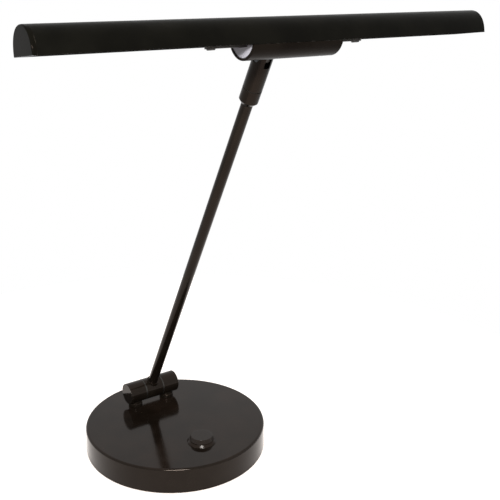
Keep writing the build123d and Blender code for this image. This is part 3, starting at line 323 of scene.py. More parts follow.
class LampFinishes(bpy.types.PropertyGroup):
    """Colours and gloss of the lamp's finishes"""

    enamel: bpy.props.FloatVectorProperty(
        name="Enamel", description="Colour of the enamel on the stand, the arm and the housing",
        subtype="COLOR", size=3, min=0, max=1, default=(0.0042, 0.0032, 0.0023))
    enamel_light: bpy.props.FloatVectorProperty(
        name="Enamel, Light Patches", description="Enamel where its film is thin or dusty",
        subtype="COLOR", size=3, min=0, max=1, default=(0.0068, 0.0054, 0.0041))
    enamel_gloss: bpy.props.FloatProperty(
        name="Enamel Roughness", description="Roughness of clean enamel",
        min=0.02, max=1, default=0.075)
    peel: bpy.props.FloatProperty(
        name="Orange Peel", description="Width of the ripples in the enamel",
        min=0.0005, max=0.02, default=0.0032, unit="LENGTH", precision=5)
    shade: bpy.props.FloatVectorProperty(
        name="Shade Enamel", description="Colour of the enamel on the shade",
        subtype="COLOR", size=3, min=0, max=1, default=(0.0030, 0.0029, 0.0022))
    shade_gloss: bpy.props.FloatProperty(
        name="Shade Roughness", description="Roughness of the clean shade",
        min=0.02, max=1, default=0.30)
    knob: bpy.props.FloatVectorProperty(
        name="Knob", description="Colour of the dimmer's knob and bezel",
        subtype="COLOR", size=3, min=0, max=1, default=(0.0105, 0.0072, 0.0052))
    end_plug: bpy.props.FloatVectorProperty(
        name="End Plugs", description="Colour of the moulded plugs in the ends of the driver housing",
        subtype="COLOR", size=3, min=0, max=1, default=(0.38, 0.39, 0.45))
    diffuser: bpy.props.FloatVectorProperty(
        name="Diffuser", description="Colour of the frosted light strip",
        subtype="COLOR", size=3, min=0, max=1, default=(0.82, 0.82, 0.79))
    phosphor: bpy.props.FloatVectorProperty(
        name="Phosphor", description="Colour of the unlit phosphor on the light sources",
        subtype="COLOR", size=3, min=0, max=1, default=(0.78, 0.55, 0.08))


class LampDetails(bpy.types.PropertyGroup):
    """Sizes of the modelled details"""

    rib_pitch: bpy.props.FloatProperty(
        name="Rib Pitch", description="Distance between the ribs of the diffuser",
        min=0.0005, max=0.01, default=0.0014, unit="LENGTH", precision=5)
    rib_height: bpy.props.FloatProperty(
        name="Rib Height", description="Height of the ribs of the diffuser",
        min=0.0001, max=0.001, default=0.0005, unit="LENGTH", precision=5)
    dome_share: bpy.props.FloatProperty(
        name="Phosphor Share", description="Share of a light source's width that its phosphor takes",
        min=0.2, max=0.95, default=0.74, subtype="FACTOR")


class LampStudio(bpy.types.PropertyGroup):
    """Floor, lamps and camera"""

    floor_radius: bpy.props.FloatProperty(
        name="Floor Radius", description="Reach of the studio floor",
        min=0.3, max=20, default=0.5, unit="LENGTH")
    floor_colour: bpy.props.FloatVectorProperty(
        name="Floor", description="Colour of the studio floor",
        subtype="COLOR", size=3, min=0, max=1, default=(0.54, 0.48, 0.44))
    backdrop: bpy.props.FloatProperty(
        name="Backdrop", description="Brightness of the far side of the studio for matt faces",
        min=0, max=2, default=0.70)
    right_wall: bpy.props.FloatProperty(
        name="Right Wall", description="Brightness of the right side of the studio for matt faces",
        min=0, max=2, default=0.35)
    wall_colour: bpy.props.FloatVectorProperty(
        name="Walls", description="Colour of the studio's walls for matt faces",
        subtype="COLOR", size=3, min=0, max=1, default=(1.0, 0.82, 0.745))
    lens: bpy.props.FloatProperty(
        name="Lens", description="Focal length of the camera in millimetres",
        min=10, max=300, default=61.0177)


# ---- Operators: finishes ----

class LAMP_OT_stand_enamel(bpy.types.Operator):
    """Sprays the base, the hinge and its caps with glossy black enamel"""

    bl_idname = "lamp.stand_enamel"
    bl_label = "Enamel the Stand"

    def execute(self, context):
        looks = context.scene.lamp_finishes
        material, tree, shader = new_material("stand_enamel")
        film = use_group(tree, sprayed_film, {"Peel Size": looks.peel})
        dust = use_group(tree, dust_film).outputs["Dust"]
        rub_and_highlight = use_group(tree, rubbed_and_highlit_edges).outputs["Rub"]
        colour = shade_between(tree, film.outputs["Cloud"], looks.enamel, looks.enamel_light)
        dusty = laid_over(tree, colour, dust, 0.028, (0.42, 0.22, 0.15))
        # Lighter edges: partly rubbed wear, partly a painted edge highlight.
        worn_and_highlit = laid_over(tree, dusty, rub_and_highlight, 0.25, (0.055, 0.052, 0.047))
        set_colour(tree, shader, worn_and_highlit)
        gloss = plus_share(tree, looks.enamel_gloss, film.outputs["Cloud"], 0.035)
        gloss = plus_share(tree, gloss, dust, 0.10)
        gloss = plus_share(tree, gloss, rub_and_highlight, 0.12)
        tree.links.new(gloss, shader.inputs["Roughness"])
        height = plus_share(tree, film.outputs["Peel"], film.outputs["Nibs"], 0.6)
        set_bump(tree, shader, height, 0.000008)
        set_mirror(shader, 0.165, tint=(1, 0.84, 0.75))
        finish(STAND_ENAMELLED, material)
        return {"FINISHED"}


class LAMP_OT_arm_enamel(bpy.types.Operator):
    """Sprays the arm, its collar and the swivelling fork with black enamel"""

    bl_idname = "lamp.arm_enamel"
    bl_label = "Enamel the Arm"

    def execute(self, context):
        looks = context.scene.lamp_finishes
        material, tree, shader = new_material("arm_enamel")
        film = use_group(tree, sprayed_film, {"Peel Size": looks.peel * 0.8})
        rub_and_highlight = use_group(tree, rubbed_and_highlit_edges, {"Width": 0.0005}).outputs["Rub"]
        colour = shade_between(tree, film.outputs["Cloud"], looks.enamel, looks.enamel_light)
        # Lighter edges: partly rubbed wear, partly a painted edge highlight.
        worn_and_highlit = laid_over(tree, colour, rub_and_highlight, 0.35, (0.06, 0.057, 0.05))
        set_colour(tree, shader, worn_and_highlit)
        gloss = plus_share(tree, looks.enamel_gloss + 0.05, film.outputs["Cloud"], 0.05)
        tree.links.new(plus_share(tree, gloss, rub_and_highlight, 0.15), shader.inputs["Roughness"])
        height = plus_share(tree, film.outputs["Peel"], film.outputs["Nibs"], 0.6)
        set_bump(tree, shader, height, 0.000014)
        set_mirror(shader, 0.13)
        finish(ARM_ENAMELLED, material)
        return {"FINISHED"}


class LAMP_OT_shade_enamel(bpy.types.Operator):
    """Sprays the shade with satin black enamel"""

    bl_idname = "lamp.shade_enamel"
    bl_label = "Enamel the Shade"

    def execute(self, context):
        looks = context.scene.lamp_finishes
        material, tree, shader = new_material("shade_enamel")
        film = use_group(tree, sprayed_film, {"Peel Size": looks.peel * 0.7})
        dust = use_group(tree, dust_film).outputs["Dust"]
        rub_and_highlight = use_group(tree, rubbed_and_highlit_edges, {"Width": 0.0005}).outputs["Rub"]
        lines = use_group(tree, drawn_lines, {"Spacing": 0.0011}).outputs["Lines"]
        deep = scaled(looks.shade, 0.8)
        colour = shade_between(tree, film.outputs["Cloud"], deep, scaled(looks.shade, 1.2))
        dusty = laid_over(tree, colour, dust, 0.02, (0.3, 0.28, 0.25))
        # Lighter edges: partly rubbed wear, partly a painted edge highlight.
        worn_and_highlit = laid_over(tree, dusty, rub_and_highlight, 0.4, (0.06, 0.052, 0.045))
        set_colour(tree, shader, worn_and_highlit)
        gloss = plus_share(tree, looks.shade_gloss, film.outputs["Cloud"], 0.05)
        tree.links.new(plus_share(tree, gloss, dust, 0.1), shader.inputs["Roughness"])
        set_mirror(shader, 0.03, tint=CLEAR_MIRROR)
        height = plus_share(tree, film.outputs["Peel"], lines, 0.5)
        set_bump(tree, shader, height, 0.000012)
        finish(("shade_shell",), material)
        return {"FINISHED"}


class LAMP_OT_cap_enamel(bpy.types.Operator):
    """Sprays the caps of the shade with a glossier enamel than the shell's"""

    bl_idname = "lamp.cap_enamel"
    bl_label = "Enamel the Caps"

    def execute(self, context):
        looks = context.scene.lamp_finishes
        material, tree, shader = new_material("cap_enamel")
        film = use_group(tree, sprayed_film, {"Peel Size": looks.peel * 0.6})
        rub_and_highlight = use_group(tree, rubbed_and_highlit_edges, {"Width": 0.0004}).outputs["Rub"]
        deep = scaled(looks.shade, 0.85)
        colour = shade_between(tree, film.outputs["Cloud"], deep, scaled(looks.shade, 1.4))
        # Lighter edges: partly rubbed wear, partly a painted edge highlight.
        worn_and_highlit = laid_over(tree, colour, rub_and_highlight, 0.5, (0.07, 0.062, 0.052))
        set_colour(tree, shader, worn_and_highlit)
        set_roughness(tree, shader, film.outputs["Cloud"], 0.10, 0.16, span=(0.0, 1.0))
        set_bump(tree, shader, film.outputs["Peel"], 0.00001)
        set_mirror(shader, 0.02)
        finish(SHADE_CAPS, material)
        return {"FINISHED"}


class LAMP_OT_housing_enamel(bpy.types.Operator):
    """Coats the driver housing with a slightly glossier enamel than the shade's"""

    bl_idname = "lamp.housing_enamel"
    bl_label = "Coat the Driver Housing"

    def execute(self, context):
        looks = context.scene.lamp_finishes
        material, tree, shader = new_material("housing_enamel")
        film = use_group(tree, sprayed_film, {"Peel Size": 0.0016})
        rub_and_highlight = use_group(tree, rubbed_and_highlit_edges, {"Width": 0.0004}).outputs["Rub"]
        colour = shade_between(tree, film.outputs["Cloud"], looks.enamel, looks.enamel_light)
        # Lighter edges: partly rubbed wear, partly a painted edge highlight.
        worn_and_highlit = laid_over(tree, colour, rub_and_highlight, 0.5, (0.07, 0.068, 0.066))
        set_colour(tree, shader, worn_and_highlit)
        set_roughness(tree, shader, film.outputs["Cloud"], 0.24, 0.30, span=(0.0, 1.0))
        set_mirror(shader, 0.035)
        set_bump(tree, shader, film.outputs["Peel"], 0.00001)
        finish(("driver_housing",), material)
        return {"FINISHED"}


class LAMP_OT_knob_finish(bpy.types.Operator):
    """Turns fine rings into the face of the knob and the bezel under it"""

    bl_idname = "lamp.knob_finish"
    bl_label = "Finish the Knob"

    def execute(self, context):
        looks = context.scene.lamp_finishes
        for name, node, low, high, mirror in (
            ("knob_gloss", "dimmer_knob", 0.10, 0.17, 0.16),
            ("bezel_gloss", "dimmer_bezel", 0.12, 0.18, 0.10),
        ):
            material, tree, shader = new_material(name)
            rings = use_group(tree, lathe_rings, {"Centre": KNOB_CENTRE, "Pitch": 0.00045})
            film = use_group(tree, sprayed_film, {"Peel Size": 0.0012})
            rub_and_highlight = use_group(tree, rubbed_and_highlit_edges, {"Width": 0.0005}).outputs["Rub"]
            colour = shade_between(
                tree, rings.outputs["Rings"], scaled(looks.knob, 0.85), scaled(looks.knob, 1.25))
            # Lighter edges: partly rubbed wear, partly a painted edge highlight.
            worn_and_highlit = laid_over(tree, colour, rub_and_highlight, 0.5, (0.07, 0.066, 0.06))
            set_colour(tree, shader, worn_and_highlit)
            set_roughness(tree, shader, rings.outputs["Rings"], low, high)
            height = plus_share(tree, rings.outputs["Rings"], film.outputs["Peel"], 0.5)
            set_bump(tree, shader, height, 0.000006)
            set_mirror(shader, mirror, tint=CLEAR_MIRROR)
            finish((node,), material)
        return {"FINISHED"}


class LAMP_OT_plated_hardware(bpy.types.Operator):
    """Zinc plates the nuts, washers, pin, shaft and spacers"""

    bl_idname = "lamp.plated_hardware"
    bl_label = "Plate the Hardware"

    def execute(self, context):
        material, tree, shader = new_material("zinc_plate")
        grain = use_group(tree, moulded_grain, {"Grain Size": 0.0009})
        lines = use_group(tree, drawn_lines, {"Spacing": 0.0003}).outputs["Lines"]
        colour = shade_between(tree, grain.outputs["Mottle"], (0.40, 0.405, 0.41), (0.56, 0.555, 0.53))
        set_colour(tree, shader, colour)
        set_roughness(tree, shader, lines, 0.24, 0.40)
        shader.inputs["Metallic"].default_value = 1
        set_bump(tree, shader, lines, 0.000008)
        finish(PLATED, material)
        return {"FINISHED"}


class LAMP_OT_blackened_hardware(bpy.types.Operator):
    """Blackens the screws and the pivot bolt and nut, rubbed to bare steel on their edges, which also stands
    for a painted edge highlight
    """

    bl_idname = "lamp.blackened_hardware"
    bl_label = "Blacken the Screws"

    def execute(self, context):
        material, tree, shader = new_material("blackened_steel")
        grain = use_group(tree, moulded_grain, {"Grain Size": 0.0005})
        rub_and_highlight = use_group(tree, rubbed_and_highlit_edges, {"Width": 0.0003}).outputs["Rub"]
        colour = shade_between(tree, grain.outputs["Mottle"], (0.040, 0.041, 0.044), (0.075, 0.074, 0.072))
        # Bare steel on the edges: rubbed wear, and also a painted edge highlight.
        worn_and_highlit = laid_over(tree, colour, rub_and_highlight, 1.0, (0.24, 0.235, 0.225))
        set_colour(tree, shader, worn_and_highlit)
        set_roughness(tree, shader, grain.outputs["Grain"], 0.30, 0.44)
        shader.inputs["Metallic"].default_value = 1
        set_bump(tree, shader, grain.outputs["Grain"], 0.000006)
        finish(BLACKENED, material)
        return {"FINISHED"}


class LAMP_OT_mounting_bar_finish(bpy.types.Operator):
    """Gives the pressed mounting bar its drawn, dark bronzed surface"""

    bl_idname = "lamp.mounting_bar_finish"
    bl_label = "Bronze the Mounting Bar"

    def execute(self, context):
        material, tree, shader = new_material("bronzed_bar")
        lines = use_group(tree, drawn_lines, {"Spacing": 0.0005}).outputs["Lines"]
        film = use_group(tree, sprayed_film, {"Peel Size": 0.0015})
        rub_and_highlight = use_group(tree, rubbed_and_highlit_edges, {"Width": 0.0004}).outputs["Rub"]
        colour = shade_between(tree, lines, (0.030, 0.025, 0.021), (0.052, 0.044, 0.037))
        # Lighter edges: partly rubbed wear, partly a painted edge highlight.
        worn_and_highlit = laid_over(tree, colour, rub_and_highlight, 0.6, (0.16, 0.145, 0.125))
        set_colour(tree, shader, worn_and_highlit)
        set_roughness(tree, shader, film.outputs["Cloud"], 0.28, 0.38, span=(0.0, 1.0))
        shader.inputs["Metallic"].default_value = 0.35
        set_bump(tree, shader, lines, 0.00001)
        finish(("mounting_bar",), material)
        return {"FINISHED"}


class LAMP_OT_slip_washers(bpy.types.Operator):
    """Finishes the thin washers that slide in the joints, and the tongue that turns between two"""

    bl_idname = "lamp.slip_washers"
    bl_label = "Finish the Slip Washers"

    def execute(self, context):
        material, tree, shader = new_material("slip_washer")
        grain = use_group(tree, moulded_grain, {"Grain Size": 0.0004})
        colour = shade_between(tree, grain.outputs["Mottle"], (0.028, 0.026, 0.024), (0.042, 0.040, 0.037))
        set_colour(tree, shader, colour)
        set_roughness(tree, shader, grain.outputs["Grain"], 0.28, 0.42)
        shader.inputs["Metallic"].default_value = 0.8
        set_bump(tree, shader, grain.outputs["Grain"], 0.000006)
        finish(SLIP_WASHERS, material)
        return {"FINISHED"}


class LAMP_OT_end_plugs(bpy.types.Operator):
    """Moulds the pale plugs that close the driver housing's ends"""

    bl_idname = "lamp.end_plugs"
    bl_label = "Finish the End Plugs"

    def execute(self, context):
        looks = context.scene.lamp_finishes
        material, tree, shader = new_material("end_plug_plastic")
        grain = use_group(tree, moulded_grain, {"Grain Size": 0.0007})
        colour = shade_between(
            tree, grain.outputs["Mottle"], scaled(looks.end_plug, 0.94), scaled(looks.end_plug, 1.05))
        set_colour(tree, shader, colour)
        set_roughness(tree, shader, grain.outputs["Grain"], 0.38, 0.50)
        set_bump(tree, shader, grain.outputs["Grain"], 0.000018)
        finish(("housing_end_left", "housing_end_right"), material)
        return {"FINISHED"}


class LAMP_OT_moulded_parts(bpy.types.Operator):
    """Finishes the dimmer's body, the low-voltage inlet and the light driver in moulded plastic"""

    bl_idname = "lamp.moulded_parts"
    bl_label = "Finish the Moulded Parts"

    def execute(self, context):
        material, tree, shader = new_material("moulded_black")
        grain = use_group(tree, moulded_grain, {"Grain Size": 0.0005})
        rub_and_highlight = use_group(tree, rubbed_and_highlit_edges, {"Width": 0.0004}).outputs["Rub"]
        colour = shade_between(tree, grain.outputs["Mottle"], (0.014, 0.014, 0.015), (0.022, 0.022, 0.022))
        # Lighter edges: partly rubbed wear, partly a painted edge highlight.
        worn_and_highlit = laid_over(tree, colour, rub_and_highlight, 0.5, (0.06, 0.06, 0.06))
        set_colour(tree, shader, worn_and_highlit)
        set_roughness(tree, shader, grain.outputs["Grain"], 0.42, 0.56)
        set_bump(tree, shader, grain.outputs["Grain"], 0.00002)
        finish(MOULDED, material)
        return {"FINISHED"}


class LAMP_OT_circuit_boards(bpy.types.Operator):
    """Lays solder resist over copper tracks on the dimmer board and the light strip"""

    bl_idname = "lamp.circuit_boards"
    bl_label = "Finish the Circuit Boards"

    def execute(self, context):
        for name, node, mask, track in (
            ("green_board", "dimmer_board", (0.012, 0.075, 0.025), (0.03, 0.15, 0.05)),
            ("white_board", "led_board", (0.70, 0.71, 0.69), (0.80, 0.80, 0.76)),
        ):
            material, tree, shader = new_material(name)
            place = object_space(tree)
            tracks = add_node(
                tree, "ShaderNodeTexBrick",
                {"Vector": place, "Scale": 120.0, "Mortar Size": 0.03, "Mortar Smooth": 0.2,
                 "Brick Width": 0.9, "Row Height": 0.35})
            grain = use_group(tree, moulded_grain, {"Grain Size": 0.0003})
            set_colour(tree, shader, shade_between(tree, tracks.outputs["Fac"], mask, track))
            set_roughness(tree, shader, grain.outputs["Grain"], 0.28, 0.36)
            set_bump(tree, shader, tracks.outputs["Fac"], 0.00003)
            finish((node,), material)
        return {"FINISHED"}


class LAMP_OT_lead_jackets(bpy.types.Operator):
    """Gives the thin inner leads a matt rubbery jacket"""

    bl_idname = "lamp.lead_jackets"
    bl_label = "Finish the Leads"

    def execute(self, context):
        material, tree, shader = new_material("lead_jacket")
        grain = use_group(tree, moulded_grain, {"Grain Size": 0.0008})
        colour = shade_between(tree, grain.outputs["Mottle"], (0.018, 0.018, 0.019), (0.030, 0.030, 0.030))
        set_colour(tree, shader, colour)
        set_roughness(tree, shader, grain.outputs["Grain"], 0.50, 0.64)
        set_bump(tree, shader, grain.outputs["Grain"], 0.00002)
        finish(LEADS, material)
        return {"FINISHED"}


class LAMP_OT_underside(bpy.types.Operator):
    """Finishes the cast weight, the pressed bottom plate and the soft pad under the base"""

    bl_idname = "lamp.underside"
    bl_label = "Finish the Underside"

    def execute(self, context):
        material, tree, shader = new_material("cast_weight")
        place = object_space(tree)
        cells = add_node(tree, "ShaderNodeTexVoronoi", {"Vector": place, "Scale": 600.0})
        sand = use_group(tree, moulded_grain, {"Grain Size": 0.0012})
        colour = shade_between(tree, sand.outputs["Mottle"], (0.030, 0.029, 0.028), (0.062, 0.056, 0.050))
        set_colour(tree, shader, colour)
        set_roughness(tree, shader, sand.outputs["Grain"], 0.55, 0.75)
        shader.inputs["Metallic"].default_value = 0.6
        height = plus_share(tree, sand.outputs["Grain"], cells.outputs["Distance"], 0.5)
        set_bump(tree, shader, height, 0.00015)
        finish(("base_weight",), material)

        material, tree, shader = new_material("pressed_plate")
        rings = use_group(tree, lathe_rings, {"Pitch": 0.0009})
        sheet = use_group(tree, moulded_grain, {"Grain Size": 0.0011})
        colour = shade_between(tree, sheet.outputs["Mottle"], (0.36, 0.365, 0.37), (0.50, 0.50, 0.48))
        set_colour(tree, shader, colour)
        set_roughness(tree, shader, sheet.outputs["Grain"], 0.30, 0.42)
        shader.inputs["Metallic"].default_value = 1
        set_bump(tree, shader, rings.outputs["Rings"], 0.00001)
        finish(("bottom_plate",), material)

        material, tree, shader = new_material("foot_foam")
        place = object_space(tree)
        cells = add_node(tree, "ShaderNodeTexVoronoi", {"Vector": place, "Scale": 900.0})
        skin = use_group(tree, moulded_grain, {"Grain Size": 0.002})
        colour = shade_between(tree, skin.outputs["Mottle"], (0.016, 0.016, 0.017), (0.028, 0.028, 0.028))
        set_colour(tree, shader, colour)
        set_roughness(tree, shader, skin.outputs["Grain"], 0.78, 0.92)
        set_bump(tree, shader, cells.outputs["Distance"], 0.0002)
        finish(("foot_pad",), material)
        return {"FINISHED"}


class LAMP_OT_heat_sink(bpy.types.Operator):
    """Finishes the drawn aluminium carrier behind the light strip"""

    bl_idname = "lamp.heat_sink"
    bl_label = "Finish the Light Carrier"

    def execute(self, context):
        material, tree, shader = new_material("drawn_aluminium")
        lines = use_group(tree, drawn_lines, {"Spacing": 0.0003}).outputs["Lines"]
        colour = shade_between(tree, lines, (0.58, 0.58, 0.585), (0.70, 0.70, 0.695))
        set_colour(tree, shader, colour)
        set_roughness(tree, shader, lines, 0.30, 0.44)
        shader.inputs["Metallic"].default_value = 1
        set_bump(tree, shader, lines, 0.000012)
        finish(("led_carrier",), material)
        return {"FINISHED"}


# ---- Modelling helpers ----

def start_mesh(name, adder, **where):
    """Adds a primitive with nothing else selected and returns its object in edit mode."""
    bpy.ops.object.select_all(action="DESELECT")
    adder(**where)
    piece = bpy.context.active_object
    piece.name = piece.data.name = name
    bpy.ops.object.transform_apply(location=True, rotation=True, scale=True)
    bpy.ops.object.mode_set(mode="EDIT")
    bpy.ops.mesh.select_mode(type="FACE")
    bpy.ops.mesh.select_all(action="DESELECT")
    return piece


def pick_faces(piece, test):
    """Selects the faces whose centre and normal pass a test."""
    net = bmesh.from_edit_mesh(piece.data)
    for face in net.faces:
        face.select_set(test(face.calc_center_median(), face.normal))
    net.select_flush_mode()
    bmesh.update_edit_mesh(piece.data)


def close_mesh():
    """Merges doubles, turns the faces outwards and leaves edit mode."""
    bpy.ops.mesh.select_all(action="SELECT")
    bpy.ops.mesh.remove_doubles(threshold=0.000005)
    bpy.ops.mesh.normals_make_consistent(inside=False)
    bpy.ops.object.mode_set(mode="OBJECT")


def join_pieces(pieces, name):
    """Joins copies into one piece."""
    bpy.ops.object.select_all(action="DESELECT")
    for piece in pieces:
        piece.select_set(True)
    bpy.context.view_layer.objects.active = pieces[0]
    bpy.ops.object.join()
    joined = bpy.context.active_object
    joined.name = joined.data.name = name
    return joined


def seat_on_head(piece):
    """Turns a piece modelled flat about the origin into the tilted plane of the head."""
    turn = Matrix.Translation(HEAD_ORIGIN) @ Matrix.Rotation(HEAD_TILT, 4, "X")
    piece.data.transform(turn)
    piece.data.update()


class LAMP_OT_light_sources(bpy.types.Operator):
    """Models the row of light sources, each a pale body with a cup of phosphor"""

    bl_idname = "lamp.light_sources"
    bl_label = "Model the Light Sources"

    def execute(self, context):
        looks, sizes = context.scene.lamp_finishes, context.scene.lamp_details
        body_size = Vector((0.0035, 0.0028, 0.0009))
        bottom, count, pitch = 0.0057, 24, 0.0165
        cup_depth, cup_taper = 0.00022, (0.86, 0.82, 1)
        gel_edge, gel_swell, gel_reach = 0.0004, 0.00014, 0.0004
        gel_share = (0.38, 0.36)
        first = start_mesh(
            "light_source", bpy.ops.mesh.primitive_cube_add, size=1,
            location=(0, 0, bottom + body_size.z / 2), scale=body_size)
        pick_faces(first, lambda centre, normal: normal.z < -0.9)
        bpy.ops.mesh.inset(thickness=body_size.y * (1 - sizes.dome_share) / 2)
        bpy.ops.mesh.extrude_region_move(TRANSFORM_OT_translate={"value": (0, 0, cup_depth)})
        bpy.ops.transform.resize(value=cup_taper)
        bpy.ops.mesh.inset(thickness=gel_edge)
        bpy.ops.transform.translate(value=(0, 0, -gel_swell))
        close_mesh()
        body, tree, shader = new_material("source_body")
        grain = use_group(tree, moulded_grain, {"Grain Size": 0.0004})
        colour = shade_between(tree, grain.outputs["Mottle"], (0.66, 0.66, 0.63), (0.76, 0.75, 0.71))
        set_colour(tree, shader, colour)
        set_roughness(tree, shader, grain.outputs["Grain"], 0.34, 0.46)
        phosphor, tree, shader = new_material("phosphor_gel")
        grain = use_group(tree, moulded_grain, {"Grain Size": 0.0003})
        colour = shade_between(tree, grain.outputs["Mottle"], scaled(looks.phosphor, 0.9), looks.phosphor)
        set_colour(tree, shader, colour)
        set_roughness(tree, shader, grain.outputs["Grain"], 0.16, 0.26)
        set_bump(tree, shader, grain.outputs["Grain"], 0.00003)
        first.data.materials.append(body)
        first.data.materials.append(phosphor)
        for face in first.data.polygons:
            x, y, z = face.center
            inside = abs(x) < body_size.x * gel_share[0] and abs(y) < body_size.y * gel_share[1]
            face.material_index = 1 if inside and z < bottom + gel_reach else 0
        row = [first]
        for k in range(1, count):
            copy = first.copy()
            copy.data = first.data.copy()
            context.collection.objects.link(copy)
            row.append(copy)
        for k, source in enumerate(row):
            source.data.transform(Matrix.Translation(((k - (count - 1) / 2) * pitch, 0, 0)))
        lights = join_pieces(row, "light_sources")
        seat_on_head(lights)
        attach(lights, "head")
        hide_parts("leds")
        return {"FINISHED"}


class LAMP_OT_ribbed_diffuser(bpy.types.Operator):
    """Models the frosted strip under the light sources, ribbed along its length"""

    bl_idname = "lamp.ribbed_diffuser"
    bl_label = "Model the Diffuser"

    def execute(self, context):
        looks, sizes = context.scene.lamp_finishes, context.scene.lamp_details
        half_length, half_width, low, high = 0.195, 0.0141, 0.003, 0.0046
        middle = (low + high) / 2
        holes = ((-0.0675, 0.0028), (0.0675, 0.0028), (-0.020, 0.0013))     # place along it, radius
        strip = start_mesh(
            "ribbed_diffuser", bpy.ops.mesh.primitive_cube_add, size=1,
            location=(0, 0, middle), scale=(2 * half_length, 2 * half_width, high - low))
        ribs = round(2 * half_width / sizes.rib_pitch)
        step = half_width / ribs
        for k in range(1, 2 * ribs):
            bpy.ops.mesh.select_all(action="SELECT")
            bpy.ops.mesh.bisect(
                plane_co=(0, -half_width + k * half_width / ribs, 0), plane_no=(0, 1, 0))
        net = bmesh.from_edit_mesh(strip.data)
        for corner in net.verts:
            place = round((corner.co.y + half_width) / step)
            corner.select_set(False)
            if corner.co.z < middle and place % 2 == 0:
                corner.select_set(True)
        net.select_flush_mode()
        bmesh.update_edit_mesh(strip.data)
        for corner in net.verts:
            if corner.select:
                corner.co.z += sizes.rib_height
        bmesh.update_edit_mesh(strip.data)
        close_mesh()
        for x, radius in holes:
            bpy.ops.object.select_all(action="DESELECT")
            bpy.ops.mesh.primitive_cylinder_add(
                vertices=48, radius=radius, depth=0.01, location=(x, 0, middle))
            cutter = context.active_object
            hole = strip.modifiers.new("hole", "BOOLEAN")
            hole.operation, hole.solver, hole.object = "DIFFERENCE", "EXACT", cutter
            bpy.ops.object.select_all(action="DESELECT")
            context.view_layer.objects.active = strip
            strip.select_set(True)
            bpy.ops.object.modifier_apply(modifier="hole")
            bpy.data.objects.remove(cutter)
        material, tree, shader = new_material("frosted_strip")
        grain = use_group(tree, moulded_grain, {"Grain Size": 0.0005})
        colour = shade_between(tree, grain.outputs["Mottle"], scaled(looks.diffuser, 0.96), looks.diffuser)
        set_colour(tree, shader, colour)
        set_roughness(tree, shader, grain.outputs["Grain"], 0.34, 0.46)
        shader.inputs["Transmission Weight"].default_value = 0.3
        set_bump(tree, shader, grain.outputs["Grain"], 0.00002)
        strip.data.materials.append(material)
        seat_on_head(strip)
        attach(strip, "head")
        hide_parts("diffuser")
        return {"FINISHED"}


# ---- Operator: studio ----

def background_rays(tree):
    """1 for the rays that see the white background: those of the camera, of mirrors and of clear parts."""
    path = tree.nodes.new("ShaderNodeLightPath")
    seen = maths(tree, "MAXIMUM", path.outputs["Is Camera Ray"], path.outputs["Is Glossy Ray"])
    return maths(tree, "MAXIMUM", seen, path.outputs["Is Transmission Ray"])


